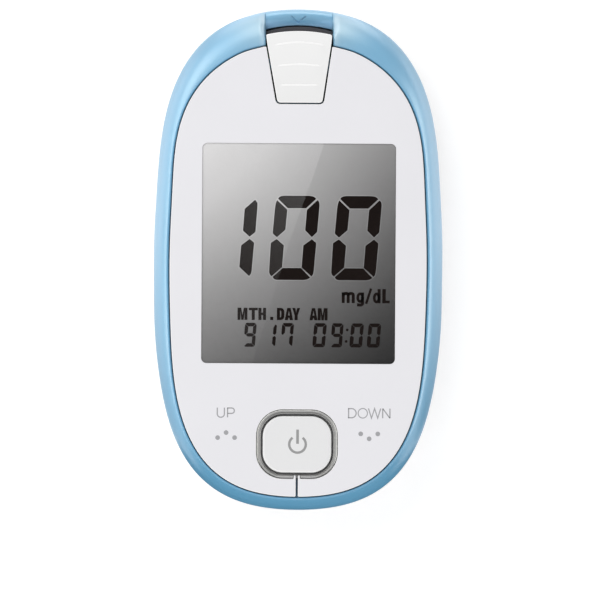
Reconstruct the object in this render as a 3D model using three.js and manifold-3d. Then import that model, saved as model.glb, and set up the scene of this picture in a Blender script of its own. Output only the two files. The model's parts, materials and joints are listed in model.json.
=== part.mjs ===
// Blood glucose meter, lying on its back: +Z out of the face, +Y towards the strip port, millimetres.
// Origin: middle of the outline, on the flat back.
import * as THREE from "three";
import { mergeVertices } from "three/addons/utils/BufferGeometryUtils.js";
import Module from "manifold-3d";

const wasm = await Module();
wasm.setup();

// ---------------------------------------------------------------- driving dimensions
// Radius of each outline about the middle as a cosine series of the angle from +Y.
const OUTER = [37.8707, -0.0066, 10.992, 0.0251, 0.6046, -0.0377, -0.648, 0.0216, -0.3176, 0.0543, -0.0718, -0.008];
const INNER = [34.1735, -1.318, 10.2322, -0.6599, 0.5163, -0.1406, -0.6095, 0.1389, -0.1823, 0.139, -0.0086, 0.0397];
const SHIFT_Y = -0.0487; // brings the middle of the outer outline to the origin
const SEG = 48; // facets round the casing

const GAP = 0.18; // half the gap between the face plate and the blue frame
const Z_PART = 9.1; // lower edge of the front housing
const Z_WIDE = 11.2; // height of the widest outline
const Z_LIP = 17.6; // inner lip of the blue frame
const DECK = [14.2, 16.2]; // deck under the face plate
const PLATE = [16.4, 18.0]; // face plate
const SHELF = 15.3; // lowered deck under the two flexing keys
const WALL = 1.6; // back wall of the rear cover
const BOARD = [8.0, 9.2];

const WIN = { x: 0, y: 1.15, w: 37.4, h: 42.5, r: 1.0 }; // display window in the face plate
const KEY = { x: 0, y: -35.75, w: 13.32, h: 11.03, r: 3.9 }; // power key
const RING = { w: 15.9, h: 13.38, r: 5.15 }; // trim ring round it
const DOT = { x: 13.8, y: -34.25 }; // where UP and DOWN are pressed
const HINGE_A = { x: 4.3, y: -29.05 }; // line on which each half of the plate flexes, mirrored for the other
const HINGE_B = { x: 24.3, y: -21.95 };
const SLIT = 0.42;
const SCREWS = [
  ["housing_screw_top_left", -17, 32],
  ["housing_screw_top_right", 17, 32],
  ["housing_screw_bottom_left", -19, -27.5],
  ["housing_screw_bottom_right", 19, -27.5],
];
const EJ = { bottom: 30.45, bend: 41.3, top: 43.5, crown: 44.2, wBottom: 4.4, wBend: 6.25, wTop: 6.35, r: 0.9, gap: 0.28 };
const CELLS = [7.0, -14.6]; // coin cells' centres along Y
const CELL_R = 10;
const CELL_Z = [1.9, 5.1];
const DOOR = { x: 12.0, y0: -27.3, y1: 19.2, r: 2.0, gap: 0.25, z: [0.05, 1.45] };

// ---------------------------------------------------------------- helpers
function radius(series, a) {
  let r = 0;
  for (let k = 0; k < series.length; k++) r += series[k] * Math.cos(k * a);
  return r;
}
function slope(series, a) {
  let r = 0;
  for (let k = 0; k < series.length; k++) r -= k * series[k] * Math.sin(k * a);
  return r;
}
// Point of an outline at angle a from +Y, moved outwards by off along its normal.
function outline(series, a, off) {
  const r = radius(series, a),
    d = slope(series, a);
  const s = Math.sin(a),
    c = Math.cos(a);
  const tx = d * s + r * c,
    ty = d * c - r * s;
  const l = Math.hypot(tx, ty);
  return [r * s - (ty / l) * off, r * c + SHIFT_Y + (tx / l) * off];
}
const A = (off, z) => (a) => [...outline(OUTER, a, off), z];
const G = (off, z) => (a) => [...outline(INNER, a, off), z];
const AXIS = (z) => () => [0, 0, z];
const MIX = (t, z) => (a) => {
  const p = outline(INNER, a, GAP),
    q = outline(OUTER, a, 0);
  return [p[0] + (q[0] - p[0]) * t, p[1] + (q[1] - p[1]) * t, z];
};

function solid(geometry) {
  const g = geometry.clone();
  for (const n of Object.keys(g.attributes)) if (n !== "position") g.deleteAttribute(n);
  const m = mergeVertices(g, 1e-5);
  const idx = m.index.array,
    tris = [];
  for (let i = 0; i < idx.length; i += 3) {
    const [p, q, r] = [idx[i], idx[i + 1], idx[i + 2]];
    if (p !== q && q !== r && p !== r) tris.push(p, q, r);
  }
  const make = (t) =>
    new wasm.Manifold(
      new wasm.Mesh({ numProp: 3, vertProperties: new Float32Array(m.attributes.position.array), triVerts: new Uint32Array(t) }),
    );
  let s = make(tris);
  if (s.volume() < 0) {
    for (let i = 0; i < tris.length; i += 3) [tris[i + 1], tris[i + 2]] = [tris[i + 2], tris[i + 1]];
    s = make(tris);
  }
  return s;
}

// A body turned like a lathe part, whose section follows the outline instead of a circle.
function turned(profile, seg = SEG) {
  const g = new THREE.LatheGeometry(
    profile.map((_, j) => new THREE.Vector2(1 + j * 0.01, j)),
    seg,
  );
  const pos = g.attributes.position;
  for (let i = 0; i <= seg; i++)
    for (let j = 0; j < profile.length; j++) {
      const p = profile[j](((i % seg) * 2 * Math.PI) / seg);
      pos.setXYZ(i * profile.length + j, p[0], p[1], p[2]);
    }
  return solid(g);
}
const box = (x0, x1, y0, y1, z0, z1) =>
  solid(new THREE.BoxGeometry(x1 - x0, y1 - y0, z1 - z0).translate((x0 + x1) / 2, (y0 + y1) / 2, (z0 + z1) / 2));
const cyl = (x, y, r, z0, z1, seg = 20) =>
  solid(new THREE.CylinderGeometry(r, r, z1 - z0, seg).rotateX(Math.PI / 2).translate(x, y, (z0 + z1) / 2));
const prism = (shape, z0, z1, curve = 6) =>
  solid(new THREE.ExtrudeGeometry(shape, { depth: z1 - z0, bevelEnabled: false, curveSegments: curve }).translate(0, 0, z0));
// Extrusion along X of a section drawn in Y and Z.
const prismX = (points, x0, x1) =>
  solid(
    new THREE.ExtrudeGeometry(new THREE.Shape(points.map((p) => new THREE.Vector2(p[0], p[1]))), {
      depth: x1 - x0,
      bevelEnabled: false,
    })
      .applyMatrix4(new THREE.Matrix4().set(0, 0, 1, x0, 1, 0, 0, 0, 0, 1, 0, 0, 0, 0, 0, 1)),
  );
function rounded(w, h, r, cx = 0, cy = 0) {
  const s = new THREE.Shape(),
    x = cx - w / 2,
    y = cy - h / 2;
  s.moveTo(x + r, y);
  s.lineTo(x + w - r, y);
  s.absarc(x + w - r, y + r, r, -Math.PI / 2, 0, false);
  s.lineTo(x + w, y + h - r);
  s.absarc(x + w - r, y + h - r, r, 0, Math.PI / 2, false);
  s.lineTo(x + r, y + h);
  s.absarc(x + r, y + h - r, r, Math.PI / 2, Math.PI, false);
  s.lineTo(x, y + r);
  s.absarc(x + r, y + r, r, Math.PI, 1.5 * Math.PI, false);
  return s;
}
const polygon = (points) => new THREE.Shape(points.map((p) => new THREE.Vector2(p[0], p[1])));
// A bent strip of even thickness along a line in Y and Z.
function strip(points, t, x0, x1) {
  const up = [],
    down = [];
  points.forEach((p, i) => {
    const a = points[Math.max(0, i - 1)],
      b = points[Math.min(points.length - 1, i + 1)];
    const l = Math.hypot(b[0] - a[0], b[1] - a[1]);
    const n = [(-(b[1] - a[1]) / l) * (t / 2), ((b[0] - a[0]) / l) * (t / 2)];
    up.push([p[0] + n[0], p[1] + n[1]]);
    down.unshift([p[0] - n[0], p[1] - n[1]]);
  });
  return prismX([...up, ...down], x0, x1);
}
const bezier = (p, u) => {
  const v = 1 - u;
  return p[0] * v * v * v + 3 * p[1] * v * v * u + 3 * p[2] * v * u * u + p[3] * u * u * u;
};

const plastic = (color, roughness = 0.45) => new THREE.MeshStandardMaterial({ color, roughness, metalness: 0 });
const metal = (color, roughness = 0.3) => new THREE.MeshStandardMaterial({ color, roughness, metalness: 1 });
const BLUE = plastic(0x8cc3e2),
  WHITE = plastic(0xeeeef0),
  BLACK = plastic(0x202022, 0.6),
  GREEN = plastic(0x1f6b3a, 0.5),
  GREY = plastic(0x9a9c98, 0.2),
  CLEAR = new THREE.MeshStandardMaterial({ color: 0xdfe4e6, roughness: 0.05, metalness: 0, transparent: true, opacity: 0.3 }),
  CHROME = metal(0xa8a8a6, 0.25),
  STEEL = metal(0xc4c6c8, 0.35),
  GOLD = metal(0xd8b25a, 0.3),
  RUBBER = plastic(0x3a3a3c, 0.8);

const meter = new THREE.Group();
meter.name = "glucose_meter";
// Each moving body is a group whose origin is its joint.
function body(name, x, y, z) {
  const g = new THREE.Group();
  g.name = name;
  g.position.set(x, y, z);
  meter.add(g);
  return g;
}
function add(group, name, made, material) {
  const m = made.getMesh(),
    n = m.numProp,
    v = new Float32Array(m.numVert * 3);
  for (let i = 0; i < m.numVert; i++) v.set(m.vertProperties.subarray(i * n, i * n + 3), i * 3);
  const g = new THREE.BufferGeometry()
    .setAttribute("position", new THREE.BufferAttribute(v, 3))
    .setIndex(new THREE.BufferAttribute(new Uint32Array(m.triVerts), 1));
  const mesh = new THREE.Mesh(g, material);
  mesh.name = name;
  g.translate(-group.position.x, -group.position.y, -group.position.z);
  g.computeVertexNormals();
  group.add(mesh);
  return mesh;
}

const housing = body("housing", 0, 0, 0);

// ---------------------------------------------------------------- front housing (blue)
const BEZEL_T = [0, 0.3, 0.95, 1.0],
  BEZEL_Z = [Z_LIP, 17.45, 15.6, Z_WIDE];
const crown = [0.2, 0.42, 0.64, 0.84, 1].map((u) => MIX(bezier(BEZEL_T, u), bezier(BEZEL_Z, u)));
let front = turned([
  AXIS(DECK[1]),
  G(GAP, DECK[1]),
  G(GAP, Z_LIP - 0.2),
  MIX(0.05, Z_LIP),
  ...crown,
  A(-0.12, Z_PART),
  A(-1.8, Z_PART),
  A(-1.8, 12.4),
  A(-3.0, DECK[0]),
  AXIS(DECK[0]),
]);
const inOutline = turned([AXIS(10.5), A(-1.2, 10.5), A(-1.2, 15), AXIS(15)], 48);
front = front
  .add(box(-8.4, 8.4, 43.3, 47.4, 11.6, 14.9).intersect(inOutline))
  .add(box(7.0, 9.6, 43.3, 45.2, 10.9, 14.5));
for (const [, x, y] of SCREWS) front = front.add(cyl(x, y, 2.6, Z_PART + 0.2, DECK[0] + 0.3));
for (const [, x, y] of SCREWS) front = front.subtract(cyl(x, y, 1.15, 9, 13.4, 14));

const window_opening = prism(rounded(42, 47, 1.2, WIN.x, WIN.y), 14, 16.6, 3);
const flexField = prism(polygon([[-26, -22.6], [-3.4, -30.6], [3.4, -30.6], [26, -22.6], [26, -50], [-26, -50]]), SHELF, 16.6).intersect(
  turned([AXIS(SHELF - 1), G(GAP, SHELF - 1), G(GAP, 17), AXIS(17)]),
);
front = front
  .subtract(window_opening)
  .subtract(flexField)
  .subtract(prism(rounded(RING.w + 2, RING.h + 2, RING.r + 1, KEY.x, KEY.y), 14.8, 16.6))
  .subtract(prism(rounded(15.7, 13.4, 5.1, KEY.x, KEY.y), 13, 16.6))
  .subtract(cyl(-DOT.x, DOT.y, 2.1, 13, 16.6))
  .subtract(cyl(DOT.x, DOT.y, 2.1, 13, 16.6))
  .subtract(box(-5.6, 5.6, 30.7, 41, 13, 16.6));
// strip recess at the top: a ramp that falls to the casing's edge, and the bay behind it
const ramp = prismX([[40, 12.75], [45.0, 12.75], [45.6, 13.05], [46.2, 13.28], [46.8, 13.28], [47.3, 13.02], [47.8, 12.45], [48.3, 11.6], [50, 10.6], [50, 20], [40, 20]], -9, 9);
front = front.subtract(ramp.intersect(prism(polygon([[-6.58, 40], [-7.09, 50], [7.09, 50], [6.58, 40]]), 10, 20)));
const bay = new THREE.Shape();
bay.moveTo(-6.64, 39.9);
bay.lineTo(6.64, 39.9);
bay.lineTo(6.86, 44.4);
bay.quadraticCurveTo(0, 46.2, -6.86, 44.4);
front = front.subtract(prism(bay, 10.6, 20, 10));
add(housing, "front_housing", front, BLUE);

// ---------------------------------------------------------------- face plate and its two flexing keys
const plateDisc = turned([AXIS(PLATE[0]), G(-GAP, PLATE[0]), G(-GAP, PLATE[1] - 0.2), G(-GAP - 0.2, PLATE[1]), AXIS(PLATE[1])]);
function ejectorShape(grow, crownUp = 0) {
  const s = new THREE.Shape(),
    r = EJ.r + grow,
    b = EJ.bottom - grow,
    k = (EJ.wBend - EJ.wBottom) / (EJ.bend - EJ.bottom);
  s.moveTo(-(EJ.wBottom + grow - r), b);
  s.lineTo(EJ.wBottom + grow - r, b);
  s.quadraticCurveTo(EJ.wBottom + grow, b, EJ.wBottom + grow + k * r, b + r);
  s.lineTo(EJ.wBend + grow, EJ.bend);
  s.lineTo(EJ.wTop + grow, EJ.top + crownUp);
  s.quadraticCurveTo(0, 2 * EJ.crown - EJ.top + crownUp, -(EJ.wTop + grow), EJ.top + crownUp);
  s.lineTo(-(EJ.wBend + grow), EJ.bend);
  s.lineTo(-(EJ.wBottom + grow + k * r), b + r);
  s.quadraticCurveTo(-(EJ.wBottom + grow), b, -(EJ.wBottom + grow - r), b);
  return s;
}
let plate = plateDisc
  .subtract(prism(rounded(WIN.w, WIN.h, WIN.r, WIN.x, WIN.y), 16, 19, 4))
  .subtract(prism(ejectorShape(EJ.gap, 3), 16, 19, 6))
  .subtract(prism(rounded(RING.w + 0.3, RING.h + 0.3, RING.r + 0.15, KEY.x, KEY.y), 16, 19, 5))
  .subtract(box(-SLIT / 2, SLIT / 2, -50, KEY.y, 16, 19));
for (const side of [-1, 1]) {
  const dx = HINGE_B.x - HINGE_A.x,
    dy = HINGE_B.y - HINGE_A.y,
    l = Math.hypot(dx, dy),
    nx = (-dy / l) * 0.15,
    ny = (dx / l) * 0.15;
  const at = (t, s) => [side * (HINGE_A.x + dx * t + s * nx), HINGE_A.y + dy * t + s * ny];
  plate = plate.subtract(prism(polygon([at(-0.15, -1), at(1.3, -1), at(1.3, 1), at(-0.15, 1)]), 16, 19));
}
const pieces = plate.decompose().filter((p) => p.volume() > 1);
const middleOf = (p) => {
  const b = p.boundingBox();
  return [(b.min[0] + b.max[0]) / 2, (b.min[1] + b.max[1]) / 2];
};
const upper = pieces.find((p) => middleOf(p)[1] > -15);
const leftFlap = pieces.find((p) => middleOf(p)[1] < -15 && middleOf(p)[0] < 0);
const rightFlap = pieces.find((p) => middleOf(p)[1] < -15 && middleOf(p)[0] > 0);
add(housing, "face_plate", upper, WHITE);

const STEM_Z = 13.35;
const upBody = body("up_key", -(HINGE_A.x + HINGE_B.x) / 2, (HINGE_A.y + HINGE_B.y) / 2, 17.2);
add(upBody, "up_key_flap", leftFlap.add(cyl(-DOT.x, DOT.y, 1.5, STEM_Z, 16.6, 16)), WHITE);
const downBody = body("down_key", (HINGE_A.x + HINGE_B.x) / 2, (HINGE_A.y + HINGE_B.y) / 2, 17.2);
add(downBody, "down_key_flap", rightFlap.add(cyl(DOT.x, DOT.y, 1.5, STEM_Z, 16.6, 16)), WHITE);

// ---------------------------------------------------------------- display stack
// thin clear pane glued over the panel, whose upper glass reaches up into the plate's opening
const lens = prism(rounded(WIN.w - 0.3, WIN.h - 0.3, WIN.r - 0.15, WIN.x, WIN.y), 17.2, 17.95, 4);
add(housing, "display_window", lens, CLEAR);
add(
  housing,
  "lcd_glass",
  box(-20, 20, WIN.y - 22.5, WIN.y + 22.5, 12.7, 14.9).add(prism(rounded(WIN.w - 0.4, WIN.h - 0.4, WIN.r - 0.2, WIN.x, WIN.y), 14.8, 17.05, 4)),
  GREY,
);
add(
  housing,
  "lcd_frame",
  prism(rounded(41.6, 46.6, 1.4, WIN.x, WIN.y), 9.3, 14.9, 3).subtract(box(-20.2, 20.2, WIN.y - 22.75, WIN.y + 22.75, 9, 16)),
  WHITE,
);
add(housing, "zebra_connector_top", box(-18, 18, WIN.y + 20.3, WIN.y + 22.1, 9.3, 12.6), RUBBER);
add(housing, "zebra_connector_bottom", box(-18, 18, WIN.y - 22.1, WIN.y - 20.3, 9.3, 12.6), RUBBER);

// ---------------------------------------------------------------- circuit board and what is on it
let board = turned([AXIS(BOARD[0]), A(-5.8, BOARD[0]), A(-5.8, BOARD[1]), AXIS(BOARD[1])], 48);
for (const [, x, y] of SCREWS) board = board.subtract(cyl(x, y, 1.3, 7, 10, 14));
add(housing, "main_board", board, GREEN);
add(housing, "microcontroller", box(-5, 5, -7, 3, 9.3, 10.7), BLACK);
add(housing, "measuring_chip", box(-2.6, 2.6, 27, 31, 9.3, 10.5), BLACK);
add(housing, "clock_crystal", box(8, 15, 7, 9.6, 9.3, 11.3), STEEL);
add(housing, "capacitor", box(-14, -10.5, -13, -10.2, 9.3, 11.2), GOLD);
add(housing, "buzzer", cyl(-9.4, 30.2, 4.4, 9.3, 12.1, 24), BLACK);
const tact = (x, y, bore) => box(x - 3, x + 3, y - 3, y + 3, 9.3, 12.3).subtract(cyl(x, y, bore, 11.1, 12.6, 16));
add(housing, "power_switch", tact(KEY.x, KEY.y, 1.85), BLACK);
add(housing, "up_switch", tact(-DOT.x, DOT.y, 2.1), BLACK);
add(housing, "down_switch", tact(DOT.x, DOT.y, 2.1), BLACK);

// ---------------------------------------------------------------- power key
const ring = prism(rounded(RING.w, RING.h, RING.r, KEY.x, KEY.y), 15.3, 17.6, 5)
  .add(prism(rounded(RING.w - 0.9, RING.h - 0.9, RING.r - 0.45, KEY.x, KEY.y), 17.3, 17.85, 5))
  .add(prism(rounded(RING.w + 1.7, RING.h + 1.7, RING.r + 0.85, KEY.x, KEY.y), 14.9, 15.6, 5))
  .subtract(prism(rounded(KEY.w + 0.7, KEY.h + 0.7, KEY.r + 0.35, KEY.x, KEY.y), 14, 19, 5));
// outer lip of the ring, flush with the plate
const lip = prism(rounded(RING.w, RING.h, RING.r, KEY.x, KEY.y), 17.5, 18.02, 5).subtract(
  prism(rounded(RING.w - 0.5, RING.h - 0.5, RING.r - 0.25, KEY.x, KEY.y), 17, 19, 5),
);
add(housing, "power_key_ring", ring.add(lip), CHROME);
const powerBody = body("power_key", KEY.x, KEY.y, 14);
add(
  powerBody,
  "power_key_cap",
  prism(rounded(KEY.w, KEY.h, KEY.r, KEY.x, KEY.y), 14.5, 18.0, 6)
    .add(prism(rounded(KEY.w - 0.5, KEY.h - 0.5, KEY.r - 0.25, KEY.x, KEY.y), 17.9, 18.2, 6))
    .add(prism(rounded(15.1, 12.8, 4.8, KEY.x, KEY.y), 13.9, 14.6, 4))
    .add(cyl(KEY.x, KEY.y, 2, STEM_Z, 14, 16)),
  WHITE,
);
const plunger = (x, y) => cyl(x, y, 1.6, 11.85, 13.2, 16);
add(powerBody, "power_plunger", plunger(KEY.x, KEY.y), RUBBER);
add(upBody, "up_plunger", plunger(-DOT.x, DOT.y), RUBBER);
add(downBody, "down_plunger", plunger(DOT.x, DOT.y), RUBBER);

// ---------------------------------------------------------------- strip port
let socket = box(-4.3, 4.3, 33.5, 42.7, 9.3, 15.0)
  .subtract(box(-3.4, 3.4, 34.4, 44, 13.5, 14.3))
  .subtract(box(-1.3, 1.3, 34.4, 41.2, 14, 16));
const FINGERS = [-2.7, -1.9, 1.9, 2.7];
for (const x of FINGERS) socket = socket.subtract(box(x - 0.33, x + 0.33, 34.1, 42, 10.2, 13.7));
add(housing, "strip_connector", socket, BLACK);
FINGERS.forEach((x, i) =>
  add(
    housing,
    "strip_contact_" + (i + 1),
    strip([[34.5, 10.4], [34.5, 12.4], [34.9, 12.75], [38.3, 13.3], [39.4, 13.72], [40.4, 13.45], [41.2, 13.0]], 0.22, x - 0.2, x + 0.2),
    GOLD,
  ),
);
const guide = new THREE.Shape();
guide.moveTo(-6.4, 43.0);
guide.lineTo(6.4, 43.0);
guide.lineTo(6.4, 44.1);
guide.quadraticCurveTo(0, 46.0, -6.4, 44.1);
add(housing, "port_guide", prism(guide, 11.7, 13.25, 8), BLACK);

// ---------------------------------------------------------------- strip ejector
const ejector = body("ejector", 0, 37, 16);
let button = prism(ejectorShape(0), 16.3, 18.2, 6);
const nose = new THREE.Shape();
nose.moveTo(-6.2, 41.7);
nose.lineTo(6.2, 41.7);
nose.lineTo(6.3, 43.4);
nose.quadraticCurveTo(0, 44.78, -6.3, 43.4);
button = button.add(prism(nose, 15.1, 16.6, 8));
for (const [y, w] of [[41.6, 4.6], [37.5, 4.0], [33.55, 3.5]]) button = button.add(box(-w, w, y - 0.25, y + 0.25, 18, 18.35));
add(ejector, "ejector_button", button, WHITE);
const carriage = box(-5.2, 5.2, 31.4, 40.2, 15.25, 16.2)
  .add(box(4.6, 5.2, 33, 38.5, 13.3, 15.6))
  .add(box(-5.2, -4.6, 33, 38.5, 13.3, 15.6))
  .add(box(4.6, 6.3, 33, 38.5, 13.2, 13.9))
  .add(box(-6.3, -4.6, 33, 38.5, 13.2, 13.9))
  .add(box(6.1, 9.4, 33.0, 34.0, 10.9, 13.9))
  .add(box(-0.9, 0.9, 34.8, 36, 13.7, 15.6));
add(ejector, "ejector_carriage", carriage, BLACK);
class Helix extends THREE.Curve {
  getPoint(t, target = new THREE.Vector3()) {
    const a = t * 6 * 2 * Math.PI;
    return target.set(7.8 + 1.2 * Math.cos(a), 34.45 + t * 8.4, 12.4 + 1.2 * Math.sin(a));
  }
}
const wire = new THREE.Shape();
for (let i = 0; i < 5; i++) {
  const a = (i * Math.PI) / 2.5;
  if (i) wire.lineTo(0.2 * Math.cos(a), 0.2 * Math.sin(a));
  else wire.moveTo(0.2, 0);
}
add(housing, "ejector_spring", solid(new THREE.ExtrudeGeometry(wire, { steps: 66, bevelEnabled: false, extrudePath: new Helix() })), STEEL);

// ---------------------------------------------------------------- rear cover (white)
const back = [0, 0.2, 0.4, 0.6, 0.8, 1].map((u) => A(bezier([-7.2, -2.9, -0.5, -0.2], u), bezier([0, 0, 3.4, 8.8], u)));
const inside = [1, 0.6, 0.3, 0].map((u) => A(bezier([-8.4, -4.6, -2.6, -2.4], u), bezier([WALL, WALL, 4.2, 7.6], u)));
let rear = turned([AXIS(0), ...back, A(-2.1, 8.8), A(-2.1, 10.3), A(-3.0, 10.3), A(-3.1, 8.4), ...inside, AXIS(WALL)]);
const WELL = { x: 10.9, y0: -25.6, y1: 17.9, z: 6.2 };
rear = rear.add(box(-13, 13, -28.3, 20.3, 1, 7.2));
for (const [, x, y] of SCREWS) rear = rear.add(cyl(x, y, 2.9, 1, 7.9));
rear = rear
  .subtract(box(-WELL.x, WELL.x, WELL.y0, WELL.y1, 1.2, WELL.z))
  .subtract(
    prism(
      rounded(2 * (DOOR.x + DOOR.gap), DOOR.y1 - DOOR.y0 + 2 * DOOR.gap, DOOR.r + DOOR.gap, 0, (DOOR.y0 + DOOR.y1) / 2),
      -1,
      WALL,
      3,
    ),
  );
for (const [, x, y] of SCREWS) rear = rear.subtract(cyl(x, y, 2.2, -1, 2.7)).subtract(cyl(x, y, 1.25, 2, 9, 14));
for (const x of [-7, 7]) rear = rear.subtract(box(x - 2.3, x + 2.3, 17.5, 21.4, 1.55, 3.6)); // pockets for the cover's hooks
rear = rear.subtract(box(-4.2, 4.2, -27.7, -25.3, 1.2, 3.2)); // pocket for its tab
for (const y of CELLS) rear = rear.subtract(box(-3, 3, y + 7.6, y + 8.8, 6, 8)).subtract(box(9.95, 10.88, y - 2.9, y + 2.9, 6, 8));
rear = rear.subtract(prism(rounded(24, 12, 1.6, 0, 29.5), -1, 0.25, 3)); // bare label recess
for (const x of [-11, -8, -5]) rear = rear.subtract(cyl(x, 38, 0.6, -1, 3, 8)); // sound holes under the buzzer
add(housing, "rear_cover", rear, WHITE);

SCREWS.forEach(([name, x, y]) =>
  add(
    housing,
    name,
    cyl(x, y, 1.9, 1.15, 2.6, 20)
      .add(cyl(x, y, 1.0, 2.5, 12.6, 12))
      .subtract(box(x - 1.1, x + 1.1, y - 0.22, y + 0.22, 1, 1.9))
      .subtract(box(x - 0.22, x + 0.22, y - 1.1, y + 1.1, 1, 1.9)),
    STEEL,
  ),
);

// ---------------------------------------------------------------- coin cells and their contacts
CELLS.forEach((y, i) => {
  const n = i + 1;
  add(
    housing,
    "battery_cell_" + n,
    cyl(0, y, CELL_R, CELL_Z[0], CELL_Z[1] - 0.5, 48).add(cyl(0, y, CELL_R - 1.4, CELL_Z[0] + 0.5, CELL_Z[1], 48)),
    STEEL,
  );
  add(
    housing,
    "battery_spring_" + n,
    strip([[y + 8.2, 7.85], [y + 8.2, 6.4], [y + 7.9, 6.0], [y + 1.2, 5.42], [y, 5.3], [y - 1.2, 5.42], [y - 2.4, 5.8]], 0.3, -2.2, 2.2),
    GOLD,
  );
  add(housing, "battery_clip_" + n, box(10.22, 10.6, y - 2.4, y + 2.4, 2.3, 7.85), STEEL);
});

// ---------------------------------------------------------------- battery cover with its hooks and finger tab
const cover = body("battery_cover", 0, 19.4, 0.05);
let door = prism(rounded(2 * DOOR.x, DOOR.y1 - DOOR.y0, DOOR.r, 0, (DOOR.y0 + DOOR.y1) / 2), DOOR.z[0], DOOR.z[1], 3);
// slots that free the tab at both sides, and the hollow a fingertip goes into
for (const x of [-4.3, 4.3]) door = door.subtract(box(x - 0.3, x + 0.3, -28, -21.5, -1, 3));
door = door.subtract(prism(rounded(6.4, 2.6, 1.2, 0, -24.2), -1, 0.65, 4));
for (const x of [-7, 7]) door = door.add(box(x - 1.9, x + 1.9, 18.2, 19.1, 1.2, 2.5)).add(box(x - 1.9, x + 1.9, 18.2, 20.7, 1.85, 2.5));
door = door.add(prismX([[-27.3, 1.3], [-26.1, 1.3], [-26.1, 2.5], [-26.7, 2.5], [-27.3, 1.9]], -3.4, 3.4));
add(cover, "battery_cover", door, WHITE);

export default meter;
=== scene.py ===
"""Looks of the blood glucose meter. Shapes are written in millimetres and stored in metres."""
import json
import math

import bmesh
import bpy
import numpy as np
from mathutils import Matrix, Vector
from mathutils.geometry import delaunay_2d_cdt

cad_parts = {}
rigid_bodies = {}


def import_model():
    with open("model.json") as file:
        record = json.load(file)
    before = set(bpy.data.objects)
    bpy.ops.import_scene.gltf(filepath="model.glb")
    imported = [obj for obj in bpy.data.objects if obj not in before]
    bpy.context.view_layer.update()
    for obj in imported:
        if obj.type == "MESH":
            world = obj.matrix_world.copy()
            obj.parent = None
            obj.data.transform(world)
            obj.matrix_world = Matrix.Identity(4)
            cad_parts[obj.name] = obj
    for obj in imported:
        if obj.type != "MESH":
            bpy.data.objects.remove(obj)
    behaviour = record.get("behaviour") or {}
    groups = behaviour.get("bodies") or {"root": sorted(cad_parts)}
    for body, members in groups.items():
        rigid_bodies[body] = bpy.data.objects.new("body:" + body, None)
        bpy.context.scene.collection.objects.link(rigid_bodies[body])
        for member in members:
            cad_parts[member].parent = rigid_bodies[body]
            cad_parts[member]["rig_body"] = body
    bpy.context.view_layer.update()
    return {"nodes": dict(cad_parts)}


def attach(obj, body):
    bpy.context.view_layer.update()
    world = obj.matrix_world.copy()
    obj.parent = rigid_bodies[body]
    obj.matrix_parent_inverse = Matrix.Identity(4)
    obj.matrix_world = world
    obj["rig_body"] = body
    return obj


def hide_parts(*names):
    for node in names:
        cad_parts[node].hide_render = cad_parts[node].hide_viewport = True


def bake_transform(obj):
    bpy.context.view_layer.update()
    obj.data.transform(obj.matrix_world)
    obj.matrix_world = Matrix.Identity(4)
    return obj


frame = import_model()
MM = 0.001
PI = math.pi

# ---------------------------------------------------------------- driving dimensions, as in the CAD
OUTER = [37.9607, -0.0866, 10.992, 0.0251, 0.6046, -0.0377, -0.648, 0.0216, -0.3176, 0.0543, -0.0718, -0.008]
INNER = [34.1735, -1.318, 10.2322, -0.6599, 0.5163, -0.1406, -0.6095, 0.1389, -0.1823, 0.139, -0.0086, 0.0397]
SHIFT = -0.0487
GAP = 0.12
EDGE = 0.09  # plate and keys inside the inner outline
WIN = (0.1, 1.08, 37.5, 42.62, 1.0)
KEY = (0.0, -35.78, 13.27, 10.9, 3.9)
RING = (0.0, -35.74, 15.56, 13.18, 5.03)
TAB = (0.62, -41.78)  # the keys' lips beside the slit, inside the ring's edge
HINGE_A = np.array([4.3, -29.05])
HINGE_B = np.array([24.3, -21.95])
SLIT = 0.42
DOT = (13.8, -34.25)
SCREWS = [("top_left", -17, 32), ("top_right", 17, 32), ("bottom_left", -19, -27.5), ("bottom_right", 19, -27.5)]
CELLS = [7.0, -14.6]


# ---------------------------------------------------------------- outlines
def radius(series, a):
    return sum(c * np.cos(k * a) for k, c in enumerate(series))


def slope(series, a):
    return -sum(k * c * np.sin(k * a) for k, c in enumerate(series))


def outline(series, a, off=0.0):
    """Points of an outline at angles a from +Y towards +X, moved outwards by off."""
    a = np.asarray(a, float)
    r, d, s, c = radius(series, a), slope(series, a), np.sin(a), np.cos(a)
    tx, ty = d * s + r * c, d * c - r * s
    n = np.hypot(tx, ty)
    p = np.stack([r * s - ty / n * off, r * c + SHIFT + tx / n * off], -1)
    if series is INNER:
        p[..., 1] -= 0.34 * smooth((12.0 - np.abs(p[..., 0])) / 6.0) * (p[..., 1] > 30)
    return p


def lean(p):
    """The ejector and its channel lean a little to the right towards the display."""
    q = np.array(p, float)
    w = smooth((9.2 - np.abs(q[:, 0])) / 2.0) * smooth((q[:, 1] - 29.0) / 1.0)
    q[:, 0] += w * (-0.065 + 0.0164 * (44.0 - q[:, 1]))
    return q


def bezier(p, u):
    v = 1 - u
    return p[0] * v**3 + 3 * p[1] * v * v * u + 3 * p[2] * v * u * u + p[3] * u**3


def smooth(x):
    x = np.clip(x, 0, 1)
    return x * x * (3 - 2 * x)


# ---------------------------------------------------------------- mesh making
def finish_mesh(name, verts, faces, body, material, slot, normals=None, sharp=None, replaces=(), blend=None):
    me = bpy.data.meshes.new(name)
    me.from_pydata((np.asarray(verts, float) * MM).tolist(), [], faces)
    me.update()
    me.polygons.foreach_set("use_smooth", [True] * len(me.polygons))
    if sharp is not None:
        me.set_sharp_from_angle(angle=math.radians(sharp))
    if normals is not None:
        me.normals_split_custom_set(normals)
    ob = bpy.data.objects.new(name, me)
    bpy.context.scene.collection.objects.link(ob)
    return dress(ob, body, material, replaces, blend)


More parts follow.
